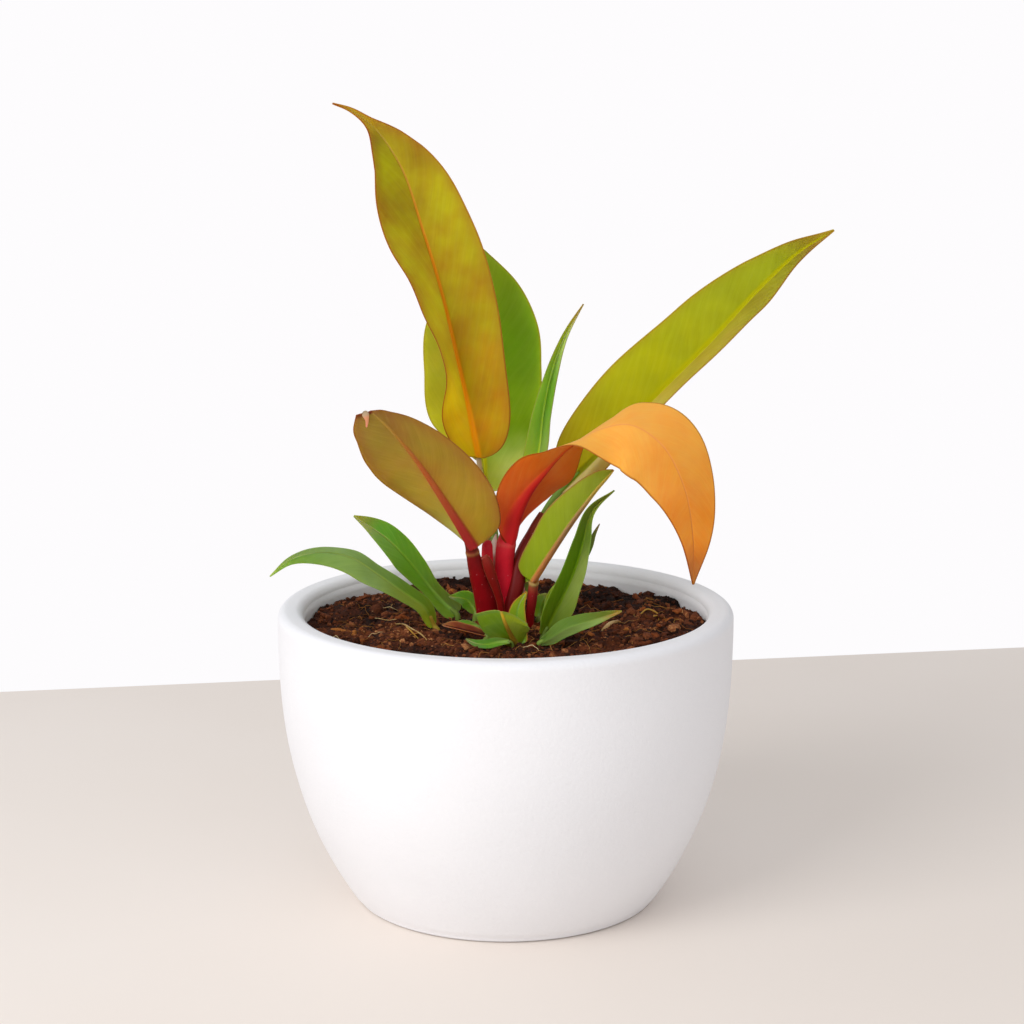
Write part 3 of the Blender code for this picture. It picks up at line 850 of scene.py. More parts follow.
    def marks(self, along: np.ndarray, reach: np.ndarray, width: np.ndarray, upper_rib: np.ndarray,
              under_rib: np.ndarray) -> dict[str, np.ndarray]:
        """Where the midrib's, margin's and flush's colours lie.

        Args:
            along: place along the blade.
            reach: distance from the midrib.
            width: half width there.
            upper_rib: half width of the midrib's band on the upper face.
            under_rib: the same on the underside.

        Returns:
            The rib, rim and flush values.
        """
        margin = width - reach
        edge = self.finish.margin_width
        rim = 1 - ease(0.35 * edge, 1.6 * edge, margin)
        rim = np.maximum(rim, 1 - ease(0.15 * self.tip, self.tip, (1 - along) * path_length(self.midrib)))
        flush = np.exp(-(margin / self.finish.flush_width) ** 2)
        rib_top = 1 - ease(0.3, 1.5, reach / np.maximum(upper_rib, 0.15))
        rib_low = 1 - ease(0.6, self.rib_edge, reach / np.maximum(under_rib, 0.15))
        rib_low = np.maximum(rib_low, self.blush * np.exp(-(reach / np.maximum(2.6 * under_rib, 0.3)) ** 2))
        return {"rib": two_faces(rib_top, rib_low), "rim": two_faces(rim, rim),
                "flush": two_faces(flush, flush)}

    def build(self) -> Surface:
        """The blade as a closed shell.

        Both faces lie half a thickness from the middle surface and meet in a rounded margin. The
        underside carries the midrib as a rounded ridge, the upper face a shallow groove, and the
        side veins lift both faces in soft waves.

        Returns:
            The surface with its along, across, face, rib, rim and flush values and vein map.
        """
        u = np.linspace(0, 1, self.rows)
        places = u - self.bunching / TURN * np.sin(TURN * u)
        halves = {side: self.half(side, places) for side in Side}
        left, right = halves[Side.LEFT], halves[Side.RIGHT]
        joined = {key: np.concatenate((left[key][:, :0:-1], right[key]), axis=1) for key in left}
        middle = left["reach"].shape[1] - 1
        joined["normal"][:, middle] = unit(left["normal"][:, 1] + right["normal"][:, 1])
        reach, width, normal = joined["reach"], joined["width"], joined["normal"]
        sign = np.where(np.arange(reach.shape[1]) < middle, -1.0, 1.0)[None, :]
        share = reach / width
        along = np.broadcast_to(places[:, None], reach.shape)
        phase = self.vein_phase(along, reach, share, sign)
        fade = ease(0.0, 0.25, share) * (1 - ease(0.7, 1.0, share))
        rise = self.vein_rise * np.cos(TURN * phase) * fade * np.minimum(width / 8, 1)
        taper = 0.2 + 0.8 * np.sqrt(np.clip(1 - share ** 12, 0, 1))
        half = self.thick / 2 * taper * np.minimum(0.3 + width / 6, 1)
        under_rib = read_keys(self.rib_under, places)[:, None]
        upper_rib = read_keys(self.rib_upper, places)[:, None]
        bulge = np.clip(1 - (reach / np.maximum(1.15 * under_rib, 0.1)) ** 2, 0, 1) ** 1.1
        bulge = bulge * under_rib * self.rib_depth
        dip = self.groove * np.exp(-(reach / np.maximum(upper_rib, 0.15)) ** 2) * np.minimum(width / 6, 1)
        centre = joined["surface"] + normal * (rise - self.sink * np.minimum(width / 5, 1))[..., None]
        top = centre + normal * (half - dip)[..., None]
        under = centre - normal * (half + bulge)[..., None]
        rings = np.concatenate((top, under[:, ::-1]), axis=1)
        values = {"along": two_faces(along, along), "across": two_faces(sign * share, sign * share),
                  "face": two_faces(np.ones_like(reach), np.zeros_like(reach))}
        values.update(self.marks(along, reach, width, upper_rib, under_rib))
        row = reach / 10 + sign * 3
        veins = np.stack((two_faces(phase, phase), two_faces(row, row)), -1)
        return Surface(close_rings(rings), ring_faces(*rings.shape[:2]), values, {"veins": veins})


# Stalks and sheaths

def across_sight(middle: np.ndarray) -> tuple[np.ndarray, np.ndarray]:
    """Directions square to a path: one across the line of sight, and one along it.

    Args:
        middle: the path's points.

    Returns:
        The two directions at each point.
    """
    ahead = unit(np.gradient(middle, axis=0))
    side = unit(np.cross(ahead, SIGHT))
    return side, np.cross(ahead, side)


@dataclass(frozen=True)
class StalkFinish:
    """Colours of a stalk along its length and the tone of its rings."""

    colours: Ramp
    ring: str = "c98a5a"
    ring_strength: float = 0.7
    patch: str = "5a0a14"
    patch_strength: float = 0.35
    dot: str = "e8a0a0"
    dot_strength: float = 0.35
    dot_scale: float = 420.0
    roughness: float = 0.4

    def build(self, name: str, groups: Groups, seed: int) -> bpy.types.Material:
        """The stalk's material: colours along it, cloudy patches, pale rings and tiny pale dots.

        Args:
            name: the material's name.
            groups: shared shader groups.
            seed: moves the patches.

        Returns:
            The material.
        """
        material, tree = new_material(name)
        colour = tree.ramp(tree.value("along"), self.colours)
        patches = tree.group(groups.mottle, Scale=180.0, Seed=0.53 * seed).outputs["Patch"]
        colour = tree.stain(colour, patches, self.patch_strength, self.patch)
        dots = tree.add("ShaderNodeTexVoronoi", {"feature": "F1"}, Vector=tree.place(), Scale=self.dot_scale)
        dot = tree.band(dots.outputs["Distance"], 0.05, 0.12, 1.0, 0.0)
        colour = tree.stain(colour, dot, self.dot_strength, self.dot)
        colour = tree.stain(colour, tree.value("ring"), self.ring_strength, self.ring)
        grain = tree.group(groups.grain, Scale=700.0).outputs["Height"]
        normal = tree.bump(grain, 0.00015, 0.5)
        tree.surface(colour, self.roughness, normal, Specular_IOR_Level=0.16)
        return material


@dataclass(frozen=True)
class Stalk:
    """A stalk of round or flattened section, with rings where it is jointed.

    The route's rows are x, y, z and radius. The section at each place is an ellipse: the radius
    lies across the line of sight, and that times the depth along it. Rings are (height, swell).
    """

    name: str
    node: str
    finish: StalkFinish
    route: Points
    depth: float = 1.0
    rings: tuple[tuple[float, float], ...] = ()
    ribs: float = 0.012
    ring_height: float = 0.7
    sway: float = 0.035
    row_gap: float = 0.45
    sides: int = 36
    slot: str = "red_stems"
    seed: int = 1

    def build(self) -> Surface:
        """The stalk as a closed tube whose ends are drawn in.

        Returns:
            The surface with its along and ring values.
        """
        length = path_length(self.route)
        rows = max(24, int(length / self.row_gap))
        places = np.linspace(0, 1, rows)
        line = read_path(self.route, places)
        middle, radius = line[:, :3], np.maximum(line[:, 3], 0.12)
        side, face = across_sight(middle)
        mark = np.zeros_like(places)
        for height, swell in self.rings:
            bell = np.exp(-((middle[:, 2] - height) / self.ring_height) ** 2)
            radius = radius + swell * bell
            mark = np.maximum(mark, bell)
        from_end = np.minimum(places, 1 - places) * length
        radius = radius * np.sqrt(1 - (1 - np.clip(from_end / radius, 0, 1)) ** 2 * 0.98)
        angle = np.linspace(0, TURN, self.sides + 1)[:-1]
        rough = 1 + self.ribs * np.sin(7 * angle + self.seed) + 0.6 * self.ribs * np.sin(3 * angle)
        place = np.stack((np.repeat(places[:, None] * length / 6, self.sides, 1),
                          np.repeat(2 * np.sin(angle)[None, :], rows, 0)), -1)
        swing = lattice_noise(place, self.seed)
        reach = radius[:, None] * rough * (1 + self.sway * swing)
        rings = (middle[:, None] + side[:, None] * (reach * np.cos(angle))[..., None]
                 + face[:, None] * (reach * self.depth * np.sin(angle))[..., None])
        patchy = np.clip(0.75 + 0.5 * swing, 0, 1)
        values = {"along": close_values(np.repeat(places[:, None], self.sides, 1)),
                  "ring": close_values(mark[:, None] * patchy)}
        return Surface(close_rings(rings), ring_faces(rows, self.sides), values)


@dataclass(frozen=True)
class Sheath:
    """A leaf sheath: a thin wall curled part of the way round a stalk and drawn to a point.

    The route's rows are x, y, z, radius, wrap and facing. Facing is the angle of the wall's middle:
    0 is the left, 90 the front and 180 the right. Wrap is how far round the wall goes, in degrees.
    """

    name: str
    node: str
    finish: StalkFinish
    route: Points
    thick: float = 0.9
    row_gap: float = 0.5
    columns: int = 27
    slot: str = "red_stems"
    seed: int = 1

    def build(self) -> Surface:
        """The wall as a closed shell: an outer arc and an inner arc joined at thin edges.

        Returns:
            The surface with its along and ring values.
        """
        rows = max(30, int(path_length(self.route) / self.row_gap))
        places = np.linspace(0, 1, rows)
        line = read_path(self.route, places)
        middle = line[:, :3]
        side, face = across_sight(middle)
        radius = np.maximum(line[:, 3:4], 0.3)
        share = np.linspace(-0.5, 0.5, self.columns)[None, :]
        angle = np.radians(line[:, 5:6] + line[:, 4:5] * share)
        thick = self.thick * (0.25 + 0.75 * np.sqrt(1 - (2 * share) ** 6)) * np.minimum(radius / 1.5, 1)
        outer = radius * (1 + 0.03 * np.sin(5 * angle + self.seed))
        inner = outer - thick

        def wall(reach: np.ndarray) -> np.ndarray:
            """Points at a reach from the path."""
            return (middle[:, None] + side[:, None] * (reach * np.cos(angle))[..., None]
                    + face[:, None] * (reach * np.sin(angle))[..., None])

        rings = np.concatenate((wall(outer), wall(inner)[:, ::-1]), axis=1)
        edge = np.repeat(np.abs(2 * share) ** 14, rows, 0)
        along = np.repeat(places[:, None], self.columns, 1)
        values = {"along": two_faces(along, along), "ring": two_faces(edge, edge)}
        return Surface(close_rings(rings), ring_faces(*rings.shape[:2]), values)


# Pot

@dataclass(frozen=True)
class Pot:
    """The turned pot: wide rim, sides that draw in to a flat base."""

    height: float = 116.6
    rim_radius: float = 89.0
    base_radius: float = 59.6
    side_height: float = 112.0
    side_power: float = 2.65
    rim_inner: float = 79.0
    rim_round: float = 3.5
    wall: float = 7.0
    floor: float = 8.0
    floor_round: float = 3.0
    foot_round: float = 2.0
    foot_bulge: float = 0.6
    steps: int = 192
    rise_rows: int = 70
    uneven: float = 0.18
    uneven_size: float = 24.0

    def side(self, height: np.ndarray) -> np.ndarray:
        """Outer radius at a height: a power curve from the base to the rim."""
        rise = np.clip(1 - height / self.side_height, 0, 1)
        return self.base_radius + (self.rim_radius - self.base_radius) * (1 - rise ** self.side_power)

    def inside(self, height: np.ndarray) -> np.ndarray:
        """Inner radius at a height: a wall inside the side, straight near the rim."""
        return np.minimum(self.rim_inner, self.side(height) - self.wall)

    def outline(self) -> np.ndarray:
        """Radius and height from the floor's edge up the inside, over the rim and down to the base.

        Returns:
            A row of radius and height for each point of the profile.
        """
        top = self.height - self.rim_round
        low = np.linspace(self.floor, top, 40)
        inner = np.stack((self.inside(low), low), -1)
        inner[0] = (self.inside(low[0]) - self.floor_round, self.floor)
        turn = np.radians(np.linspace(180, 90, 12))
        rim_in = np.stack((self.rim_inner + self.rim_round * (1 + np.cos(turn)),
                           top + self.rim_round * np.sin(turn)), -1)
        turn = np.radians(np.linspace(90, 0, 12))
        rim_out = np.stack((self.rim_radius - self.rim_round * (1 - np.cos(turn)),
                            top + self.rim_round * np.sin(turn)), -1)
        low = np.linspace(top - 1, self.foot_round + 1, self.rise_rows)
        outer = np.stack((self.side(low), low), -1)
        turn = np.radians(np.linspace(-8, -90, 9))
        foot_middle = self.base_radius - self.foot_round + self.foot_bulge
        foot = np.stack((foot_middle + self.foot_round * np.cos(turn),
                         self.foot_round + self.foot_round * np.sin(turn)), -1)
        return np.concatenate((inner, rim_in, rim_out, outer, foot))

    def build(self) -> Surface:
        """The pot as a closed turned body with hand-made unevenness well under a millimetre.

        Returns:
            The surface.
        """
        outline = self.outline()
        angle = np.linspace(0, TURN, self.steps + 1)[:-1]
        radius = np.repeat(outline[:, :1], self.steps, 1)
        rise = np.repeat(outline[:, 1:], self.steps, 1)
        place = np.stack((radius * np.cos(angle), radius * np.sin(angle), rise), -1) / self.uneven_size
        uneven = self.uneven * lattice_noise(place, 5) * ease(2, 12, rise)
        radius = radius + np.minimum(uneven, 0.0)
        rings = np.stack((radius * np.cos(angle), radius * np.sin(angle), rise), -1)
        return Surface(close_rings(rings), ring_faces(len(outline), self.steps))

    def dress(self, groups: Groups) -> bpy.types.Material:
        """Matte white with a very fine grain and faint cloudy tone.

        Args:
            groups: shared shader groups.

        Returns:
            The material.
        """
        material, tree = new_material("matte_white_pot")
        patches = tree.group(groups.mottle, Scale=14.0, Seed=0.2).outputs["Patch"]
        colour = tree.ramp(patches, ((0.0, "f0f0f3"), (1.0, "ececef")))
        fine = tree.group(groups.grain, Scale=650.0).outputs["Height"]
        broad = tree.group(groups.grain, Scale=120.0).outputs["Height"]
        height = tree.math("MULTIPLY_ADD", broad, 0.6, fine)
        normal = tree.bump(height, 0.00045, 0.4)
        tree.surface(colour, tree.band(fine, 0.3, 0.7, 0.5, 0.62), normal, Specular_IOR_Level=0.35)
        return material


# Soil

@dataclass(frozen=True)
class SoilFinish:
    """Browns of the potting mix, from the darkest crumb to the palest."""

    name: str
    colours: Ramp
    roughness: float = 0.92
    grain: float = 900.0
    bump: float = 0.0006

    def build(self, groups: Groups) -> bpy.types.Material:
        """The material: each crumb's own tone, darkened and lightened by a fine grain.

        Args:
            groups: shared shader groups.

        Returns:
            The material.
        """
        material, tree = new_material(self.name)
        height = tree.group(groups.grain, Scale=self.grain).outputs["Height"]
        tone = tree.math("ADD", tree.value("tone"), tree.band(height, 0.3, 0.7, -0.16, 0.16))
        colour = tree.ramp(tone, self.colours, "LINEAR")
        tree.surface(colour, self.roughness, tree.bump(height, self.bump, 0.8), Specular_IOR_Level=0.2)
        return material


@dataclass(frozen=True)
class Soil:
    """The potting mix: an uneven bed with crumbs, bark chips and fibres on it.

    Rows of mounds are x, y, reach and rise, and rows of spots are x, y, reach and change of tone.
    """

    level: float = 107.0
    radius: float = 78.6
    relief: float = 2.8
    mounds: Points = ((26, -22, 6, -3.2), (-28, 71, 8, 1.6), (-13, 76, 6, 1.6), (66, 38, 6, 1.6),
                      (70, 20, 5, 1.0))
    spots: Points = ((-52, 40, 34, -0.04), (26, -22, 7, -0.35), (68, 42, 9, -0.25), (-34, -18, 22, 0.18),
                     (50, 50, 24, -0.1), (10, 40, 24, -0.12), (62, -4, 18, 0.1))
    swell_size: float = 30.0
    lump_size: float = 8.0
    crumb_size: float = 2.6
    crumb_rise: float = 0.8
    outer_rise: float = 1.2
    skirt: tuple[float, float, float] = (101.0, 100.0, 99.5)
    rings: int = 150
    steps: int = 400
    seed: int = 11

    def bells(self, x: np.ndarray, y: np.ndarray, rows: Points) -> np.ndarray:
        """Sum of round bells: each row's last number times exp of -(distance / reach) squared.

        Args:
            x: places to read.
            y: the same.
            rows: x, y, reach and size of each bell.

        Returns:
            The sum at each place.
        """
        total = np.zeros(np.shape(x))
        for middle_x, middle_y, reach, size in rows:
            total = total + size * np.exp(-((x - middle_x) ** 2 + (y - middle_y) ** 2) / reach ** 2)
        return total

    def height(self, x: np.ndarray, y: np.ndarray) -> np.ndarray:
        """Height of the bed: slow swells, clods and small lumps, quiet round the stems.

        Args:
            x: places to read.
            y: the same.

        Returns:
            The height at each place.
        """
        place = np.stack((x, y), -1)
        slow = fractal_noise(place / self.swell_size, self.seed, 2)
        lumps = fractal_noise(place / self.lump_size, self.seed + 3, 3)
        crumbs = fractal_noise(place / self.crumb_size, self.seed + 9, 4)
        away = ease(16, 44, np.hypot(x, y + 4))
        level = self.level + self.relief * (0.25 + 0.75 * away) * (0.5 * slow + 0.45 * lumps)
        return level + self.bells(x, y, self.mounds) + self.crumb_rise * crumbs + self.outer_rise * away

    def tone(self, x: np.ndarray, y: np.ndarray) -> np.ndarray:
        """How light the mix is at a place: broad patches, and darker and redder parts."""
        patches = 0.16 * fractal_noise(np.stack((x, y), -1) / 14, self.seed + 21, 3)
        return patches + self.bells(x, y, self.spots)

    def bed(self) -> Surface:
        """The bed as a closed body: rings out from the middle, then down inside the wall.

        Returns:
            The surface with its tone.
        """
        radii = np.concatenate((np.linspace(0.4, self.radius, self.rings), np.full(3, self.radius)))
        angle = np.linspace(0, TURN, self.steps + 1)[:-1]
        x, y = radii[:, None] * np.cos(angle), radii[:, None] * np.sin(angle)
        z = self.height(x, y)
        z[-3], z[-2], z[-1] = z[-4] - 1.0, self.skirt[0], self.skirt[1]
        rings = np.stack((x, y, z), -1)
        floor = np.stack((0.2 * x[-1], 0.2 * y[-1], np.full(self.steps, self.skirt[2])), -1)
        rings = np.concatenate((rings, floor[None]))[::-1]
        tone = 0.36 + 0.2 * fractal_noise(rings / 5, 3, 3) + self.tone(rings[..., 0], rings[..., 1])
        return Surface(close_rings(rings), ring_faces(len(rings), self.steps), {"tone": close_values(tone)})

    def scatter(self, count: int, seed: int, edge: float) -> tuple[np.ndarray, np.random.Generator]:
        """Even random places on the bed.

        Args:
            count: how many.
            seed: the draw's seed.
            edge: how far they stay from the wall.

        Returns:
            The places and the generator for further draws.
        """
        draw = np.random.default_rng(seed)
        radius = (self.radius - edge) * np.sqrt(draw.random(count))
        angle = draw.random(count) * TURN
        x, y = radius * np.cos(angle), radius * np.sin(angle)
        return np.stack((x, y, self.height(x, y)), -1), draw

    def lumps(self, count: int, sizes: tuple[float, float], flat: float, seed: int,
              sink: float = 0.15, rough: float = 0.7, smooth: bool = False) -> Surface:
        """Many small lumps as one surface.

        Each is a ball of 20 faces whose corners move in and out at random, stretched, turned and
        set on the bed.

        Args:
            count: how many.
            sizes: smallest and largest radius.
            flat: height of a lump against its width.
            seed: the draw's seed.
            sink: how far a lump sits in the bed, as a share of its size.
            rough: how far the corners move in and out, as a share of the radius.
            smooth: whether its faces are shaded as one.

        Returns:
            The surface with each lump's tone.
        """
        places, draw = self.scatter(count, seed, sizes[1])
        ball, faces = icosahedron()
        size = sizes[0] + (sizes[1] - sizes[0]) * draw.random(count) ** 2.2
        shape = np.stack((0.75 + 0.6 * draw.random(count), 0.75 + 0.6 * draw.random(count),
                          flat * (0.7 + 0.6 * draw.random(count))), -1)
        corners = ball[None] * (1 - rough / 2 + rough * draw.random((count, len(ball), 1))) * shape[:, None]
        corners = corners * size[:, None, None]
        corners = turned(corners, draw.random(count) * TURN, draw.normal(0, 0.5, (count, 2)))
        points = corners + places[:, None]
        points[..., 2] += (size * shape[:, 2] * (0.5 - sink))[:, None]
        index = faces[None] + (np.arange(count) * len(ball))[:, None, None]
        tone = np.clip(draw.normal(0.42, 0.17, count) + self.tone(places[:, 0], places[:, 1]), 0, 1)
        return Surface(points.reshape(-1, 3), index.reshape(-1, 3).tolist(),
                       {"tone": np.repeat(tone, len(ball))}, smooth=smooth)

    def fibres(self, count: int, seed: int) -> Surface:
        """Fine curved fibres as one surface: thin four-sided tubes that arch over the bed.

        Args:
            count: how many.
            seed: the draw's seed.

        Returns:
            The surface with each fibre's tone.
        """
        places, draw = self.scatter(count, seed, 6.0)
        steps = 9
        sides = 4
        t = np.linspace(-1, 1, steps)
        reach = (2.0 + 6.0 * draw.random(count) ** 1.5)[:, None] * t
        bend = draw.normal(0, 0.5, (count, 1)) * reach * t
        wiggle = draw.normal(0, 0.25, (count, steps))
        heading = draw.random(count)[:, None] * TURN
        x = places[:, :1] + reach * np.cos(heading) - (bend + wiggle) * np.sin(heading)
        y = places[:, 1:2] + reach * np.sin(heading) + (bend + wiggle) * np.cos(heading)
        far = np.hypot(x, y)
        pull = np.minimum(1, (self.radius - 0.8) / far)
        x, y = x * pull, y * pull
        rise = self.height(x, y) + 0.5 + (0.3 + 1.2 * draw.random((count, 1)) ** 2) * (1 - t * t)
        line = np.stack((x, y, rise), -1)
        ahead = unit(np.gradient(line, axis=1))
        side = unit(np.cross(ahead, np.array((0.0, 0.0, 1.0))))
        up = np.cross(side, ahead)
        thin = ((0.07 + 0.08 * draw.random(count))[:, None] * np.sqrt(1.03 - t * t))[..., None, None]
        angle = np.linspace(0, TURN, sides + 1)[:-1]
        ring = line[:, :, None] + thin * (side[:, :, None] * np.cos(angle)[:, None]
                                          + up[:, :, None] * np.sin(angle)[:, None])
        grid = np.arange(steps * sides).reshape(steps, sides)
        after = np.roll(grid, -1, axis=1)
        quads = np.stack((grid[:-1], after[:-1], after[1:], grid[1:]), -1).reshape(-1, 4)
        caps = np.stack((grid[0][::-1], grid[-1]))
        index = np.concatenate((quads, caps))[None] + (np.arange(count) * steps * sides)[:, None, None]
        tone = np.repeat(np.clip(draw.normal(0.42, 0.25, count), 0, 1), steps * sides)
        return Surface(ring.reshape(-1, 3), index.reshape(-1, 4).tolist(), {"tone": tone})


def icosahedron() -> tuple[np.ndarray, np.ndarray]:
    """A regular body of 20 triangles.

    Returns:
        Its corners at distance one, and its faces, turned outwards.
    """
    gold = (1 + math.sqrt(5)) / 2
    corners = np.array([(-1, gold, 0), (1, gold, 0), (-1, -gold, 0), (1, -gold, 0), (0, -1, gold),
                        (0, 1, gold), (0, -1, -gold), (0, 1, -gold), (gold, 0, -1), (gold, 0, 1),
                        (-gold, 0, -1), (-gold, 0, 1)], float)
    near = np.linalg.norm(corners[:, None] - corners[None], axis=-1) < 2.1
    faces = [(a, b, c) for a in range(12) for b in range(a + 1, 12) for c in range(b + 1, 12)
             if near[a, b] and near[b, c] and near[a, c]]
    index = np.array(faces)
    mid = corners[index]
    away = np.einsum("ij,ij->i", np.cross(mid[:, 1] - mid[:, 0], mid[:, 2] - mid[:, 0]), mid.mean(axis=1))
    index[away < 0] = index[away < 0][:, ::-1]
    return corners / math.sqrt(1 + gold * gold), index


def turned(points: np.ndarray, heading: np.ndarray, tilt: np.ndarray) -> np.ndarray:
    """Groups of points, each turned about Z by its heading after tilts about X and Y.

    Args:
        points: groups of points.
        heading: one angle for each group.
        tilt: two angles for each group.

    Returns:
        The turned points.
    """
    ax, ay = tilt[:, 0, None], tilt[:, 1, None]
    x, y, z = points[..., 0], points[..., 1], points[..., 2]
    y, z = y * np.cos(ax) - z * np.sin(ax), y * np.sin(ax) + z * np.cos(ax)
    x, z = x * np.cos(ay) + z * np.sin(ay), z * np.cos(ay) - x * np.sin(ay)
    c, s = np.cos(heading)[:, None], np.sin(heading)[:, None]
    return np.stack((x * c - y * s, x * s + y * c, z), -1)


@dataclass(frozen=True)
class Bark:
    """Bark chips in the mix: slabs with rounded corners and split grain."""

    soil: Soil
    count: int = 150
    seed: int = 21

    def build(self) -> Surface:
        """All chips as one surface.

        Each is a box-like round: the cosines and sines of longitude and latitude are raised to a
        small power, scaled to length, width and thickness, and roughened along the grain.

        Returns:
            The surface with each chip's tone.
        """
        places, draw = self.soil.scatter(self.count, self.seed, 5.0)
        u = np.linspace(0, TURN, 10)[:-1]
        v = np.linspace(-1.2, 1.2, 4)[:, None]

        def power(wave: np.ndarray) -> np.ndarray:
            """A wave with its sign kept and its size raised to a small power."""
            return np.sign(wave) * np.abs(wave) ** 0.55

        shape = np.stack((power(np.cos(v)) * power(np.cos(u)), power(np.cos(v)) * power(np.sin(u)),
                          power(np.sin(v)) + 0 * u), -1)
        size = np.stack((1.2 + 3.4 * draw.random(self.count) ** 2, 0.9 + 1.7 * draw.random(self.count) ** 2,
                         0.45 + 0.7 * draw.random(self.count)), -1)
        grid = shape[None] * size[:, None, None]
        jitter = 1 + 0.18 * draw.normal(0, 1, grid.shape[:3])
        grid = grid * jitter[..., None]
        rings, ring = grid.shape[1:3]
        flat = grid.reshape(self.count, -1, 3)
        caps = np.stack((grid[:, 0].mean(axis=1), grid[:, -1].mean(axis=1)), axis=1)
        flat = np.concatenate((flat, caps), axis=1)
        flat = turned(flat, draw.random(self.count) * TURN, draw.normal(0, 0.35, (self.count, 2)))
        flat = flat + places[:, None]
        flat[..., 2] += 0.35 * size[:, 2:3]
        faces = ring_faces(rings, ring)
        points = rings * ring + 2
        index = [tuple(corner + points * chip for corner in face) for chip in range(self.count)
                 for face in faces]
        shade = draw.normal(0.42, 0.22, self.count) + self.soil.tone(places[:, 0], places[:, 1])
        tone = np.repeat(np.clip(shade, 0, 1), points)
        return Surface(flat.reshape(-1, 3), index, {"tone": tone})


# The plant: finishes, then blades, stalks and sheaths with their measures

def even(code: str) -> Ramp:
    """One colour along the whole length."""
    return ((0.0, code), (1.0, code))


# Where a finish gives a right half's ramp, the two halves' ramps paint light and shade: the lit half paler,
# the shaded half darker.
TALL_FINISH = LeafFinish(upper=((0, "f8c814"), (.35, "bca82c"), (.8, "70680f"), (1, "90603c")),
    # The left half's ramp is paler and yellower near the base, a painted glow of light through the raised
    # left half; the right half's darker ramp is painted shade that the left half casts.
    upper_right=((0, "cc8808"), (.5, "9c8408"), (.8, "887408"), (1, "743820")),
    under=((0, "b08a20"), (1, "7a6a30")), under_right=((0, "a87c28"), (1, "8a7a3a")),
    rib_upper=((0, "f4a810"), (.5, "c88410"), (1, "989040")), rib_under=((0, "c8501e"), (1, "a08a2a")),
    margin="7a3016", margin_strength=1.0, patch="965c0c", patch_strength=0.5, patch_scale=48.0,
    fleck="b4bc10", fleck_strength=0.42, flush="8c4c20", flush_strength=0.4)
ORANGE_FINISH = LeafFinish(upper=((0, "e8a83c"), (.55, "fca848"), (.85, "f08c28"), (1, "a05830")),
    under=((0, "ec4820"), (.3, "ec7420"), (1, "f0a834")),
    rib_upper=((0, "f0a068"), (.6, "f49850"), (1, "c07030")),
    rib_under=((0, "e82830"), (.15, "c02420"), (.4, "c45c1c"), (1, "e09038")), margin="84320f",
    patch="c86a1e", patch_strength=0.2, fleck="ffb468", fleck_strength=0.15, glow=0.5)
LEFT_FINISH = LeafFinish(upper=((0, "a89028"), (1, "8c6e30")),
    under=((0, "ac8c24"), (.5, "a47c2c"), (1, "986c34")),
    under_right=((0, "d0d060"), (.35, "b89c3c"), (1, "907038")), rib_upper=((0, "b88a40"), (1, "9a7a3c")),
    rib_under=((0, "a02828"), (.5, "a8582c"), (1, "987838")), margin="6a2a1e", margin_strength=1.0,
    patch="8e5c2c", patch_strength=0.35, fleck="8c8c2c", fleck_strength=0.4, vein_light="c8b464",
    flush="84402c", flush_strength=0.5, flush_width=4.0)
RIGHT_FINISH = LeafFinish(upper=((0, "a08c14"), (.4, "a8a810"), (.8, "949c20"), (1, "783820")),
    # The right half's upper ramp starts pale: a painted highlight on the steeply folded right half.
    upper_right=((0, "d0b890"), (.4, "b4983c"), (.8, "847824"), (1, "844030")),
    under=((0, "b0a050"), (1, "908a3c")), under_right=((0, "c8c864"), (1, "a08c3c")),
    rib_upper=((0, "808410"), (.4, "b4b008"), (1, "a8a40c")), rib_under=((0, "c0b050"), (1, "a09a48")),
    margin="7c4a20", margin_width=0.6, patch="a8ac10", patch_strength=0.3, fleck="7e8c24",
    fleck_strength=0.3, vein_light="d2d25a", vein_strength=0.04, flush="8a7a24", flush_strength=0.4,
    flush_width=2.5)
REAR_FINISH = LeafFinish(upper=((0, "d0c81c"), (.5, "bcb43c"), (1, "98a434")),
    # The left half's ramp is yellower and paler than the right half's: a painted glow of light through the
    # left half.
    upper_right=((0, "e8f8b0"), (.25, "88b420"), (.5, "609418"), (1, "889828")),
    under=((0, "aaaf28"), (1, "7a8a20")), under_right=((0, "78a040"), (1, "6a8c38")),
    rib_upper=((0, "f8f860"), (1, "c8e84c")), rib_under=((0, "c0c858"), (1, "a0b048")), margin="6a4a20",
    patch="3c700e", patch_strength=0.3, fleck="7c9c30", fleck_strength=0.25)
NARROW_FINISH = LeafFinish(upper=((0, "c0f870"), (.4, "98cc50"), (.8, "98a838"), (1, "986448")),
    upper_right=((0, "a0b464"), (.45, "6c9c2c"), (.8, "acc46c"), (1, "b48c70")),
    under=((0, "5c9648"), (1, "5a8840")), rib_upper=((0, "d8f468"), (.5, "b0d864"), (1, "ccc8b0")),
    rib_under=((0, "9aba72"), (1, "8aa868")), margin="6a4a38", margin_strength=0.55, margin_width=0.3,
    patch="3c7828", patch_strength=0.2)
YOUNG_FINISH = LeafFinish(upper=((0, "9ab832"), (1, "8ca832")),
    under=((0, "a88036"), (.5, "98a044"), (1, "96a03c")), under_right=((0, "a0b424"), (1, "90a02c")),
    rib_upper=((0, "a8bc50"), (1, "98a848")), rib_under=((0, "c8804a"), (.5, "a48055"), (1, "c0ac48")),
    margin="966440", patch="6e961e", patch_strength=0.15)
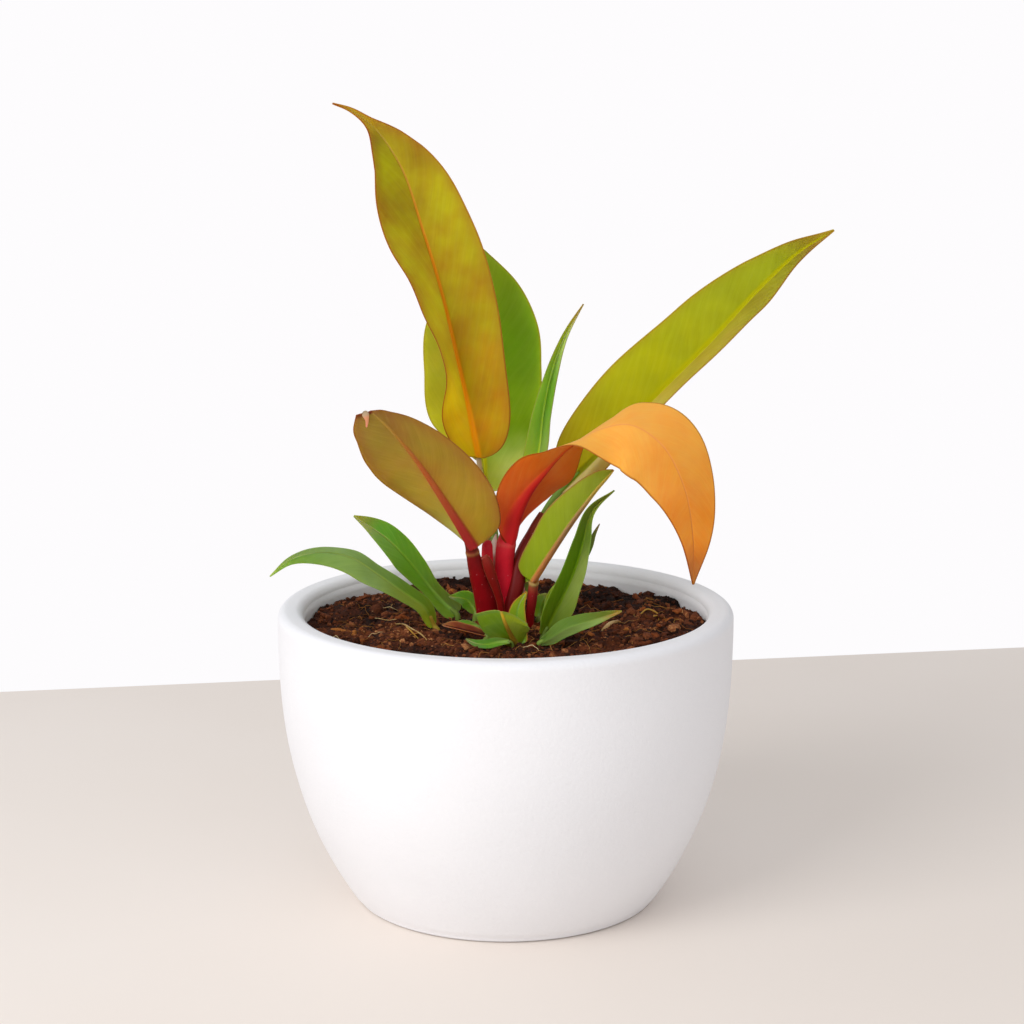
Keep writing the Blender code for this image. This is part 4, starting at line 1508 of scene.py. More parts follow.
GREEN_FINISH = LeafFinish(upper=((0, "789c30"), (.4, "609424"), (.75, "689444"), (1, "88886c")),
    upper_right=((0, "607034"), (.5, "588c28"), (.8, "589434"), (1, "787040")),
    under=((0, "6a9048"), (1, "5a8846")), rib_upper=((0, "90b854"), (.5, "749c2c"), (1, "9ca46c")),
    rib_under=((0, "96b46e"), (1, "88a860")), margin="5a7c46", margin_strength=0.4, margin_width=0.35,
    patch="326e1e", patch_strength=0.15)


def green(**changes: Any) -> LeafFinish:
    """The green finish with some of its values changed."""
    return replace(GREEN_FINISH, **changes)


ARCH_FOLD: Keys = ((0, 10), (.15, 12), (.27, 6), (.375, 3), (.463, -13), (.61, -5), (.756, -4), (.902, 8),
    (1, 10))
TROUGH_FOLD: Keys = ((0, 40), (.2, 35), (.5, 30), (1, 34))

MAIN_BLADES: tuple[Blade, ...] = (
    Blade("tall_blade", "leaf_tall", "olive_orange_leaf", TALL_FINISH,
        midrib=((-10.5, 8, 173.5), (-14.5, 11, 193), (-19, 16, 212), (-25, 23, 236.5), (-32.5, 30, 260.5),
            (-42.5, 38, 287), (-53, 43, 300.7), (-61.5, 44.8, 306.6), (-68.5, 46, 309)),
        width=((0, 2), (.02, 10), (.08, 15.5), (.2, 19), (.38, 21), (.55, 20.3), (.7, 16), (.82, 8.0),
            (.9, 2.2), (.95, 1.1), (1, .4)),
        fold=((0, 45), (.1, 50), (.18, 72), (.26, 75), (.36, 66), (.46, 60), (.57, 43), (.66, 34), (1, 35)),
        width_right=((0, 2), (.02, 10), (.08, 15), (.2, 17.8), (.38, 20.4), (.55, 20), (.7, 15.8),
            (.82, 8.0), (.9, 2.2), (.95, 1.1), (1, .4)), fold_right=level(10), curl_left=24,
        sweep_left=((0, -1), (.1, -1.5), (.25, 0), (1, 0)),
        sweep_right=((0, .5), (.1, .8), (.25, 0), (1, 0)), tip=11,
        rib_upper=((0, 1.3), (.3, .8), (.6, .5), (1, .2)), rib_under=((0, 1.5), (.5, .8), (1, .2)),
        vein_angle=28, vein_gap=8, seed=1),
    Blade("rear_blade", "leaf_rear", "green_leaf", REAR_FINISH,
        midrib=((-8.1, 28, 156), (-9.1, 31, 176.7), (-10.1, 37, 203.9), (-11.1, 45, 231.1),
            (-17.7, 56, 258.4)),
        width=((0, 2), (.03, 9), (.1, 17.2), (.25, 22.2), (.45, 24.5), (.62, 23.2), (.75, 17.2), (.87, 9),
            (1, .5)),
        fold=((0, 86), (.12, 84), (.15, 72), (.2, 50), (.25, 31), (.45, 25), (.65, 24), (1, 10)),
        fold_right=level(8), rib_upper=((0, 1.2), (.5, .8), (1, .2)), seed=2),
    Blade("narrow_blade", "leaf_narrow", "green_leaf", NARROW_FINISH,
        midrib=((10, 16, 163), (13, 17, 175), (14.5, 18, 188.5), (17, 19, 202), (22.5, 22, 218),
            (30.5, 24, 232)), width=((0, 1.6), (.05, 5), (.2, 8.5), (.4, 7.5), (.7, 4), (1, .4)),
        fold=((0, 30), (.15, 47), (.27, 56), (.4, 63), (.7, 70), (1, 50)),
        fold_right=((0, 70), (.3, 70), (.5, 65), (1, 70)), rib_upper=((0, .5), (1, .2)), tip=8,
        rib_under=((0, .7), (1, .2)), wave=0.2, vein_angle=25, rows=130, columns=22, seed=3),
    Blade("right_blade", "leaf_right", "yellow_green_leaf", RIGHT_FINISH,
        midrib=((21.5, 12, 159.5), (37, 16, 174), (57, 20, 194), (79.5, 25, 216), (102.5, 30, 240),
            (115.5, 33, 251.5), (129.5, 35, 260)),
        width=((0, 2), (.03, 9), (.1, 16), (.2, 19.5), (.33, 21), (.5, 19.3), (.62, 17.5), (.75, 12.5),
            (.87, 6.5), (.95, 2.5), (1, .5)), fold=level(8),
        fold_right=((0, 60), (.2, 76), (.4, 79), (.5, 76), (.66, 70), (.73, 63), (.85, 63), (1, 50)),
        rib_upper=((0, 1.5), (.5, 1.4), (1, .3)), rib_under=((0, 1.4), (.5, .8), (1, .2)), tip=6,
        vein_angle=36, seed=4),
    Blade("orange_blade", "leaf_orange", "orange_leaf", ORANGE_FINISH,
        midrib=((0.2, -4.6, 140.4), (0.8, -5.0, 145), (2.4, -5.6, 151.7), (4.5, -6.3, 156.7),
            (8.0, -7.2, 162.8), (13.4, -9, 169.8), (23.2, -12.4, 181), (34.5, -16, 188.5), (47, -21, 191.5),
            (58, -26, 185.5), (66.5, -30, 171), (70.5, -34, 149.5), (70.5, -36, 133)),
        width=((0, 2.6), (.025, 3.4), (.06, 9.5), (.14, 19), (.25, 19.5), (.35, 17), (.43, 13.5), (.56, 18),
            (.7, 17), (.8, 12.5), (.9, 6.5), (1, .5)),
        width_right=((0, 2.6), (.025, 3.4), (.06, 7.5), (.14, 14), (.3, 12.5), (.41, 11), (.49, 18.5),
            (.58, 20), (.7, 16), (.8, 12), (.9, 6), (1, .5)),
        sweep_left=((0, 0), (.25, -3.5), (.47, -3.5), (.55, 2), (.66, 1.5), (.8, -3), (1, 0)),
        sweep_right=((0, 0), (.25, -4), (.37, 3), (.47, .5), (.55, -4), (.66, -2.5), (.8, 0), (1, 0)),
        groove=0.1,
        turn=((0, -125), (.15, -128), (.219, -128), (.297, -109), (.385, -88), (.463, -52), (.56, -35),
            (.658, -30), (.805, -36), (1, -38)), fold=ARCH_FOLD,
        rib_under=((0, 3.0), (.03, 3.4), (.06, 3.4), (.085, 3.2), (.11, 2.9), (.135, 2.5), (.17, 1.9),
            (.21, 1.4), (.25, 1.0), (.33, .6), (.46, .4), (1, .2)), rib_upper=((0, .8), (.5, .45), (1, .2)),
        rib_depth=0.95, blush=0.5, rib_edge=1.7, seed=5),
    Blade("left_blade", "leaf_left", "olive_red_leaf", LEFT_FINISH,
        midrib=((-12, -16.2, 142.8), (-22.5, -18.2, 160.2), (-35.9, -22.2, 180.7), (-44.4, -26, 191.4),
            (-50.6, -28, 197.4)),
        width=((0, 2), (.02, 11), (.11, 16), (.27, 18.3), (.48, 17.6), (.7, 14.4), (.8, 11.8), (.88, 8.6),
            (.94, 5.6), (1, .8)),
        width_right=((0, 2), (.02, 11), (.11, 16), (.27, 17.8), (.48, 17.4), (.7, 16.6), (.8, 15.2),
            (.88, 12.4), (.95, 9.2), (1, 4.4)),
        sweep_right=((0, 0), (.6, 0), (.8, -.8), (.88, -2.6), (.95, -3.6), (1, -3.2)),
        sweep_power=(1.5, 0.8),
        turn=((0, 138), (.11, 142), (.25, 150), (.43, 167), (.6, 184), (.75, 195), (.88, 203), (1, 206)),
        fold=TROUGH_FOLD,
        rib_under=((0, 2.1), (.1, 1.75), (.28, 1.3), (.45, .9), (.6, .55), (.75, .3), (1, .15)), blush=0.25,
        rib_edge=1.5, vein_angle=48, seed=6),
    Blade("young_blade", "leaf_young", "yellow_green_leaf", YOUNG_FINISH,
        midrib=((10.5, -6.5, 127.4), (16, -8.5, 136.9), (28.5, -12, 156.6), (36, -12.4, 166.6),
            (41.4, -11, 172.2)),
        width=((0, 3), (.02, 6.6), (.05, 8.2), (.1, 8.9), (.3, 9.9), (.5, 10.6), (.7, 8.6), (.85, 6),
            (.95, 3.2), (1, .5)), sweep_left=((0, 3.2), (.08, 2.8), (.2, 1.1), (.4, 0), (1, 0)),
        turn=level(252), fold=level(72), rib_under=((0, 1.2), (.5, .8), (1, .2)), wave=0.2, rows=130,
        columns=22, seed=7),
)

SHOOT_BLADES: tuple[Blade, ...] = (
    Blade("upright_blade", "shoot_leaf_upright", "green_leaf",
        green(upper=((0, "607c10"), (.5, "588010"), (1, "505c20")),
            # The right half's upper ramp has a pale band near 0.45 along: a painted highlight.
            upper_right=((0, "54700c"), (.45, "84944a"), (.7, "5c7424"), (1, "505f20")),
            rib_upper=((0, "728814"), (.5, "7ca020"), (1, "7c8440"))),
        midrib=((14.5, -22, 110), (18, -23, 117.5), (22, -24, 126), (26, -25, 135.5), (29.5, -27, 148),
            (32.5, -28, 159), (41, -28, 167.5)),
        width=((0, 1.6), (.05, 3.5), (.15, 6), (.3, 6.5), (.5, 6.4), (.75, 4.2), (.9, 2.2), (1, .4)),
        width_right=((0, 1.6), (.05, 3.5), (.15, 6), (.3, 6.5), (.5, 6.2), (.65, 4.4), (.78, 2), (.88, .8),
            (1, .3)), fold=level(45), fold_right=((0, 10), (.2, 15), (.35, 45), (.6, 55), (1, 50)),
        wave=0.3, vein_angle=20, rows=110, columns=20, foot=(14, -22), seed=8),
    Blade("spread_blade", "shoot_leaf_left", "green_leaf",
        # Both halves' upper ramps turn pale near 0.45 along: painted sheen.
        green(upper=((0, "a8bc34"), (.25, "7c9028"), (.45, "88a460"), (1, "648c38")),
            upper_right=((0, "809424"), (.2, "608420"), (.45, "7c9c54"), (1, "748c38")),
            rib_upper=((0, "809c28"), (.5, "90a854"), (1, "a8b850"))),
        midrib=((-28, -4, 109), (-31, -6, 116.5), (-39.5, -8, 123.5), (-50, -11, 132), (-58.5, -14, 138.5),
            (-71, -17, 141.5), (-82.5, -20, 139), (-90, -22, 133)),
        width=((0, 1.6), (.04, 3.5), (.15, 5.5), (.35, 7.5), (.5, 8), (.62, 6.7), (.75, 5.0), (.88, 2.3),
            (1, .4)),
        width_right=((0, 1.6), (.04, 3.5), (.15, 5), (.3, 5.6), (.42, 5.6), (.6, 7.9), (.75, 7.0),
            (.88, 3.8), (1, .4)), turn=((0, 45), (.3, 56), (.6, 50), (1, 50)),
        fold=((0, -5), (.25, 8), (.4, 0), (.6, -22), (1, -20)), wave=0.3, vein_angle=24, rows=120,
        columns=20, foot=(-26.6, -4.5), foot_colour="b0902c", seed=9),
    Blade("back_blade", "shoot_leaf_back", "green_leaf", green(),
        midrib=((-19.5, 12, 110), (-24, 13, 113.5), (-28.5, 13, 118.5), (-36.5, 13, 129), (-46, 13, 139.5),
            (-60, 13, 149.5)),
        width=((0, 2.4), (.04, 4.3), (.12, 4.2), (.25, 3.8), (.45, 5.9), (.53, 6.4), (.6, 6.0), (.7, 5.2),
            (.8, 3.7), (.88, 2.2), (1, .4)),
        width_right=((0, 2.4), (.04, 4.3), (.12, 4.2), (.25, 3.8), (.45, 5.2), (.65, 5.9), (.8, 5.1),
            (.92, 2.8), (1, .4)), turn=level(20), wave=0.3, vein_angle=24, rows=110, columns=20,
        foot=(-19, 12), seed=10),
    Blade("low_blade", "shoot_leaf_low", "green_leaf",
        green(upper=((0, "4c6820"), (.4, "648234"), (.85, "5c6820"), (1, "9c642c")),
            upper_right=((0, "3c4414"), (.4, "6c8040"), (.7, "809850"), (1, "b4743c")),
            rib_upper=((0, "607c30"), (.5, "749040"), (1, "8c7c40"))),
        midrib=((13, -34, 110), (17, -36, 112.5), (22.5, -38, 116.5), (31.5, -40, 120), (43.5, -41, 124)),
        width=((0, 1.4), (.06, 2.5), (.2, 4.2), (.5, 4.6), (.75, 3.2), (.9, 1.6), (1, .4)), turn=level(-50),
        fold=level(8), wave=0.3, vein_angle=24, rows=80, columns=18, foot=(12.6, -33.8), seed=11),
    Blade("front_blade", "shoot_leaf_front", "green_leaf",
        green(under=((0, "748808"), (.5, "747f20"), (1, "8c981c")),
            under_right=((0, "5c5804"), (.5, "4c6804"), (1, "648004")),
            rib_under=((0, "88701c"), (.5, "70520e"), (1, "c49c28"))),
        midrib=((4.6, -33, 108.5), (2.2, -35, 113), (0, -34.5, 117.5), (-1.6, -32, 121.4)),
        width=((0, 1.6), (.1, 3.5), (.35, 6.5), (.65, 8), (1, 8.4)),
        width_right=((0, 1.6), (.1, 4.5), (.35, 8), (.65, 9.8), (1, 10.6)),
        sweep_left=((0, 0), (.3, 2), (1, 7)), sweep_right=((0, -1), (.3, -3), (.65, -2.8), (1, -4.3)),
        sweep_power=(1.5, 0.5), turn=level(180), fold=((0, 15), (1, 25)), wave=0.0, vein_angle=30, rows=70,
        columns=20, foot=(7.5, -32.5), seed=12),
    Blade("front_flap", "shoot_leaf_front", "green_leaf",
        green(upper=((0, "6e9018"), (1, "87a01c")), upper_right=(), margin="b4642d", margin_strength=0.8),
        midrib=((6.8, -32.6, 109.5), (4.4, -30, 116), (4.8, -26.5, 122), (8, -24, 127.5)),
        width=((0, 1), (.1, 2.5), (.4, 3.6), (.7, 2.6), (1, .4)), wave=0.1, rows=60, columns=16, seed=13),
    Blade("torn_blade", "shoot_leaf_torn", "green_leaf", green(),
        midrib=((1.5, -37.4, 111.4), (-3, -39, 111.5), (-7.5, -39.5, 110.8), (-11, -39, 111),
            (-15, -38, 112.5)), width=((0, .8), (.1, 1.4), (.35, 2.2), (.65, 2.0), (.9, 1), (1, .3)),
        turn=level(40), rib_under=((0, .5), (1, .1)), wave=0.2, rows=60, columns=14, foot=(3, -35.5),
        foot_radius=0.5, seed=14),
    Blade("dark_blade", "shoot_leaf_dark", "green_leaf", green(),
        midrib=((13, 8, 109.5), (14, 10.5, 113), (16, 13.5, 118)),
        width=((0, 1.3), (.15, 2.4), (.5, 2.9), (.85, 2.4), (1, .5)), wave=0.1, rows=50, columns=14,
        foot=(13, 8), seed=15),
    Blade("olive_blade", "shoot_leaf_olive", "olive_orange_leaf",
        green(upper=even("64780f"), upper_right=()),
        midrib=((16.5, -9, 114), (18, -8, 121), (21.5, -7, 128)),
        width=((0, 1.2), (.15, 2), (.5, 2.4), (.8, 1.6), (1, .4)), wave=0.1, rows=50, columns=14,
        foot=(15.5, -9), seed=16),
    Blade("small_blade", "shoot_leaf_small", "green_leaf", green(),
        midrib=((-12, 11, 111), (-15.5, 12, 115.5), (-22.5, 10, 117.5)),
        width=((0, 1.3), (.15, 3), (.5, 3.8), (.8, 1.8), (1, .4)), turn=level(30), wave=0.1, rows=50,
        columns=14, foot=(-12, 11), seed=17),
    Blade("scrap_blade", "shoot_leaf_scrap", "green_leaf", green(),
        midrib=((-11, -9, 110), (-15.5, -9, 111), (-20, -9, 111)),
        width=((0, .9), (.15, 1.4), (.5, 1.7), (.85, 1.2), (1, .3)), turn=level(30), wave=0.1, rows=50,
        columns=12, foot=(-11.5, -9), seed=18),
    Blade("dry_blade", "dry_sheath", "dry_sheath",
        green(upper=((0, "6e3020"), (.6, "8a4630"), (1, "b07850")),
            upper_right=((0, "4a2016"), (.6, "5e2a1c"), (1, "8a5034")), under=even("5a281e"),
            rib_upper=even("42190f"), rib_under=even("5a281e"), margin="a87048", patch="7a2c1c",
            patch_strength=0.5, roughness=0.75),
        midrib=((-7, -24, 110.2), (-13.5, -20, 110.8), (-19, -16, 111.2), (-24.5, -12, 111.5)),
        width=((0, 1), (.15, 2), (.5, 2.6), (.85, 2), (1, .4)), turn=level(40), fold=((0, 48), (1, 40)),
        fold_right=((0, 40), (1, 30)), wave=0.5, rows=60, columns=14, foot=(-8, -23.5), seed=19),
)

DEEP_RED = StalkFinish(((0, "980c16"), (.6, "960c14"), (.82, "86181a"), (.9, "7c2c22"), (1, "b02a2a")),
    ring="c09050", patch="5c0c10", patch_strength=0.4)
BRIGHT_RED = StalkFinish(((0, "c41226"), (.5, "ec2036"), (.8, "f02e3c"), (.92, "e02838"), (1, "cc2030")),
    patch="a80c1e", ring="dc7460", ring_strength=0.35)
DULL_RED = StalkFinish(((0, "7c0c10"), (.45, "7a1410"), (.75, "8c281e"), (1, "8a402a")), ring="a05040",
    ring_strength=0.4)
YOUNG_RED = StalkFinish(
    ((0, "8c1418"), (.45, "a01a1c"), (.72, "b02c2c"), (.84, "b45a3c"), (.9, "c08c50"), (1, "96502d")),
    ring="dcc878", ring_strength=0.8, patch="7a1418", patch_strength=0.2)
FLAP_RED = StalkFinish(((0, "800a0c"), (.5, "88120e"), (.85, "962018"), (1, "a03428")), patch="4a0a12")
PURPLE_RED = StalkFinish(((0, "8c0f28"), (.6, "a0143c"), (1, "d2788c")), patch="641432")
PALE_TISSUE = StalkFinish(((0, "9a1e28"), (.4, "c88070"), (.6, "fff0dc"), (1, "fff6ea")), patch="5a2418",
    patch_strength=0.3, ring="f4ece0")
DRIP = StalkFinish(((0, "8c8468"), (.3, "b09878"), (.5, "cc8860"), (1, "d8886a")), patch="a05a3c",
    patch_strength=0.2)
SLIVER = StalkFinish(((0, "587818"), (.6, "6e7828"), (1, "7a5c34")), patch="4a5a18")
ROOT = StalkFinish(((0, "a07828"), (.5, "c89a3c"), (1, "a87830")), patch="785020")
STRAW = StalkFinish(((0, "b08c50"), (.5, "d2b478"), (1, "a88448")), patch="8c6438")
GREEN_STALK = StalkFinish(((0, "7a8c32"), (.6, "82a046"), (1, "78a03c")), patch="5a7828", ring="b4b464")
PALE_STALK = StalkFinish(((0, "aa5a32"), (.5, "b4b464"), (.8, "ccb08c"), (1, "dcbca4")), patch="8ca03c",
    ring="b4b464")

# The bed's browns run darker than the crumbs' browns.
DARK_BED_BROWNS: Ramp = ((0, "140a07"), (.3, "2d160e"), (.5, "4b2414"), (.7, "6e381c"), (1, "96562a"))
CRUMB_BROWNS: Ramp = ((0, "180b07"), (.25, "381a0e"), (.5, "66341c"), (.75, "8e5230"), (1, "c48a58"))
BARK_BROWNS: Ramp = ((0, "2d140a"), (.35, "5a2c16"), (.7, "8c4820"), (1, "be7838"))
FIBRE_GOLDS: Ramp = ((0, "503014"), (.4, "96602a"), (.75, "c08c46"), (1, "e6d2a0"))

STEMS = "main_stems"

CROWN_STALKS: tuple[Stalk, ...] = (
    Stalk("orange_stalk", STEMS, BRIGHT_RED,
        ((-1, 3, 103, 4.2), (-0.8, 0, 113, 4.0), (-0.6, -2.5, 124, 3.7), (-0.5, -3.5, 133, 3.5),
            (0.1, -4.4, 140.5, 3.7), (0.5, -4.6, 143.2, 3.55), (1.0, -4.4, 147, 2.8),
            (1.8, -4.0, 150.5, 2.0), (3.0, -4.0, 154, 1.0)), rings=((142.0, 0.12),), seed=1),
    Stalk("left_stalk", STEMS, DEEP_RED,
        ((-5, 0, 103, 4.8), (-6.2, -2.0, 110, 4.8), (-7, -4.4, 116.5, 4.6), (-8.2, -6.6, 122.3, 4.2),
            (-10, -9, 128.4, 3.5), (-11.5, -11.6, 134.6, 3.0), (-12.7, -13.8, 140.6, 2.45),
            (-13.3, -15, 143.5, 2.2), (-15, -16.4, 147.5, 1.5)), rings=((140.8, 0.22),), seed=2),
    Stalk("tall_stalk", STEMS, PALE_STALK,
        ((-3, 8, 103, 2.6), (-6.4, 10, 130, 2.0), (-8.4, 9.6, 150, 1.5), (-9.9, 9.4, 165, 1.05),
            (-10.6, 9.6, 173, 0.95), (-12.4, 11.4, 182, 0.5)), seed=3),
    Stalk("rear_stalk", STEMS, GREEN_STALK,
        ((-1.5, 9.5, 103, 2.2), (-3.6, 16, 130, 1.9), (-5.6, 24, 148, 1.5), (-7.2, 29, 158, 1.1),
            (-8.8, 33, 170, 0.6)), seed=4),
    Stalk("narrow_stalk", STEMS, GREEN_STALK,
        ((0.5, 8, 103, 2.0), (1, 12, 130, 1.8), (2.2, 14, 145, 1.5), (5.4, 15.4, 156, 1.2),
            (9.7, 16, 162.2, 0.9), (11.5, 17.2, 170, 0.5)), seed=5),
    Stalk("right_stalk", STEMS, GREEN_STALK,
        ((2, 6, 103, 2.3), (9, 10, 130, 2.2), (15, 11.5, 150, 1.7), (20.8, 12.5, 158.9, 1.4),
            (29, 15, 167, 0.7)), seed=6),
    Stalk("cut_stub", STEMS, BRIGHT_RED,
        ((-5.5, 1, 110, 3.0), (-6.6, -1.6, 128, 2.7), (-7, -3, 137, 2.5), (-6.9, -3.6, 143.2, 2.3)),
        seed=7),
    Stalk("crown_base", STEMS, DEEP_RED,
        ((-3, 3.5, 84, 5.7), (-3, 3.5, 95, 8.6), (-3, 3.5, 104, 9.0), (-3, 3.5, 113, 6.6)), seed=8),
    Stalk("young_stalk", "stalk_young", YOUNG_RED,
        ((10, 3.5, 96, 1.6), (9.2, 2.6, 105, 1.6), (9.4, 0.8, 111, 1.7), (10.2, -1.8, 118.4, 1.85),
            (10.7, -4.2, 124.6, 1.85), (11.1, -5.6, 127.8, 1.75), (12.8, -6.6, 131.3, 1.0)),
        rings=((126.8, 0.2),), seed=12),
)

LITTER: tuple[Stalk, ...] = (
    Stalk("pale_stick", "soil", STRAW,
        ((36.5, -11, 107.6, .4), (39, -6.5, 109.1, .75), (41, -2.5, 109.6, .8), (43.5, 1.5, 109.4, .6),
            (45.5, 5, 108.4, .3)), depth=0.7, slot="potting_soil", seed=31),
    Stalk("root_arc_long", "soil", ROOT,
        ((51, 7, 107, .28), (53.5, 11, 110, .3), (57, 15.5, 111, .3), (60, 13.5, 110, .28),
            (60.6, 8.4, 108, .22)), slot="potting_soil", seed=32),
    Stalk("root_arc_short", "soil", ROOT,
        ((55.5, 5, 107.4, .25), (58, 8.4, 109.6, .28), (61.5, 10.6, 109.4, .25), (64, 9.4, 107.6, .2)),
        slot="potting_soil", seed=33),
    Stalk("straw_left", "soil", STRAW,
        ((-43.5, 1.5, 108.4, .22), (-40, -5, 110, .26), (-36, -12.5, 109.8, .28), (-32, -19.5, 109.2, .26),
            (-29.4, -24, 107.6, .2)), slot="potting_soil", seed=34),
    Stalk("root_left", "soil", ROOT,
        ((-33, -20, 107.4, .24), (-36.5, -15.5, 109.8, .28), (-38.6, -9.5, 110.2, .26),
            (-37, -4.5, 108, .2)), slot="potting_soil", seed=35),
    Stalk("left_tip", "leaf_left", DRIP,
        ((-53, -28, 197.6, 1.0), (-52.2, -29.4, 196.6, 1.3), (-51.6, -30.5, 194.6, .7),
            (-51.8, -30.9, 191.9, .3)), depth=0.35, slot="olive_red_leaf", seed=36),
    Stalk("torn_sliver", "shoot_leaf_upright", SLIVER,
        ((31.0, -26.5, 142, .6), (32.2, -26.4, 146, 1.0), (33.5, -26.6, 150.4, .75),
            (35.6, -26.8, 154.6, .2)), depth=0.4, slot="green_leaf", seed=37),
)

CROWN_SHEATHS: tuple[Sheath, ...] = (
    Sheath("pointed_sheath", STEMS, DULL_RED,
        ((1.4, -4.6, 104, 2.6, 200, 90), (1.7, -5, 112, 2.7, 200, 90), (2.4, -4.6, 118.5, 2.9, 200, 92),
            (4.2, -3.4, 126, 3.3, 200, 92), (5.6, -1.0, 134, 3.0, 190, 95), (7.6, 0.8, 139.5, 2.6, 180, 95),
            (9.9, 2.2, 144, 2.2, 170, 95), (12.4, 3.4, 148.6, 2.0, 165, 95),
            (14.2, 4.4, 152.4, 1.3, 150, 95)), seed=9),
    Sheath("open_sheath", STEMS, FLAP_RED,
        ((-0.9, -7, 104, 1.3, 150, 100), (-1.4, -8.2, 112, 1.4, 150, 100),
            (-2.4, -9.2, 120.6, 1.5, 150, 100), (-4.1, -10.2, 126.5, 1.8, 150, 100),
            (-5.9, -11.4, 131.8, 2.1, 150, 100), (-7.3, -12.6, 136.6, 2.1, 150, 95),
            (-8.4, -13.6, 139.4, 1.5, 150, 85)), seed=10),
    Sheath("purple_point", STEMS, PURPLE_RED,
        ((4.6, -5.5, 108, 1.9, 100, 150), (5.4, -6.2, 115, 1.8, 100, 150), (6.3, -6.4, 120, 1.2, 90, 150),
            (7.1, -6.4, 125, 0.3, 80, 150)), thick=0.6, seed=11),
    Sheath("torn_sheath", STEMS, PALE_TISSUE,
        ((-4.9, -1.6, 130, 2.0, 130, 105), (-4.9, -2.6, 138, 1.9, 130, 105),
            (-4.6, -3.4, 142.5, 1.4, 120, 105), (-3.9, -3.8, 145.8, 0.4, 90, 110)), thick=0.4, seed=13),
    Sheath("pale_tissue", STEMS, PALE_TISSUE,
        ((11.4, 3.2, 145, 1.2, 90, 30), (12.6, 4.2, 149.5, 1.2, 90, 30), (13.4, 4.8, 152.4, 0.3, 80, 30)),
        thick=0.4, seed=14),
)


# The model in parts

def grow(part: Blade | Stalk | Sheath, groups: Groups) -> None:
    """Make and dress one part of the plant."""
    skin = part.finish.build(part.name + "_skin", groups, part.seed)
    add_piece(part.name, part.build(), skin, part.slot, part.node)


@dataclass
class Foliage:
    """Every blade, with the short stalk of each that grows from the soil by itself."""

    groups: Groups
    soil_top: float = 107.0
    foot_depth: float = 96.0
    neck: float = 4.0
    overlap: float = 0.06

    def foot_stalk(self, blade: Blade) -> Stalk:
        """The stalk from the blade's place in the soil up into the base of its midrib.

        Args:
            blade: the blade it carries.

        Returns:
            The stalk.
        """
        x, y = blade.foot
        inside = tuple(read_path(blade.midrib, np.array([self.overlap]))[0])
        radius = blade.foot_radius
        skin = StalkFinish(even(blade.foot_colour), patch="6a7a30", ring="b4b464")
        route = ((x, y, self.foot_depth, radius), (x, y, self.soil_top - self.neck, radius),
                 (x, y, self.soil_top, radius), (*blade.midrib[0], radius * 0.8), (*inside, radius * 0.5))
        return Stalk(blade.name + "_stalk", blade.node, skin, route, slot=blade.slot, seed=blade.seed)

    def build(self) -> None:
        """Make and dress each blade and foot."""
        for blade in MAIN_BLADES + SHOOT_BLADES:
            grow(blade, self.groups)
            if blade.foot:
                grow(self.foot_stalk(blade), self.groups)


@dataclass
class Crown:
    """The main shoot's stalks and sheaths, and the small stalks and roots that lie about."""

    groups: Groups

    def build(self) -> None:
        """Make and dress each stalk."""
        for stalk in CROWN_STALKS + CROWN_SHEATHS + LITTER:
            grow(stalk, self.groups)


@dataclass
class PottingMix:
    """The soil bed with what lies on it."""

    groups: Groups
    soil: Soil = Soil()
    slot: str = "potting_soil"
    node: str = "soil"
    dark_bed: SoilFinish = SoilFinish("dark_bed_browns", DARK_BED_BROWNS)
    crumb: SoilFinish = SoilFinish("crumb_browns", CRUMB_BROWNS, grain=1100.0, bump=0.0009)
    bark: SoilFinish = SoilFinish("bark_browns", BARK_BROWNS, grain=700.0, bump=0.0008)
    fibre: SoilFinish = SoilFinish("fibre_golds", FIBRE_GOLDS, grain=500.0, bump=0.0002)

    def build(self) -> None:
        """Make and dress the bed, crumbs, clods, bark and fibres."""
        soil = self.soil
        crumbs = self.crumb.build(self.groups)
        pieces = (("soil_bed", soil.bed(), self.dark_bed.build(self.groups)),
                  ("fine_crumbs", soil.lumps(6400, (0.25, 1.0), 0.75, 31), crumbs),
                  ("soil_clods", soil.lumps(520, (0.9, 2.8), 0.6, 32, 0.45, 1.1, True), crumbs),
                  ("bark_chips", Bark(soil).build(), self.bark.build(self.groups)),
                  ("soil_fibres", soil.fibres(190, 33), self.fibre.build(self.groups)))
        for name, surface, skin in pieces:
            add_piece(name, surface, skin, self.slot, self.node)


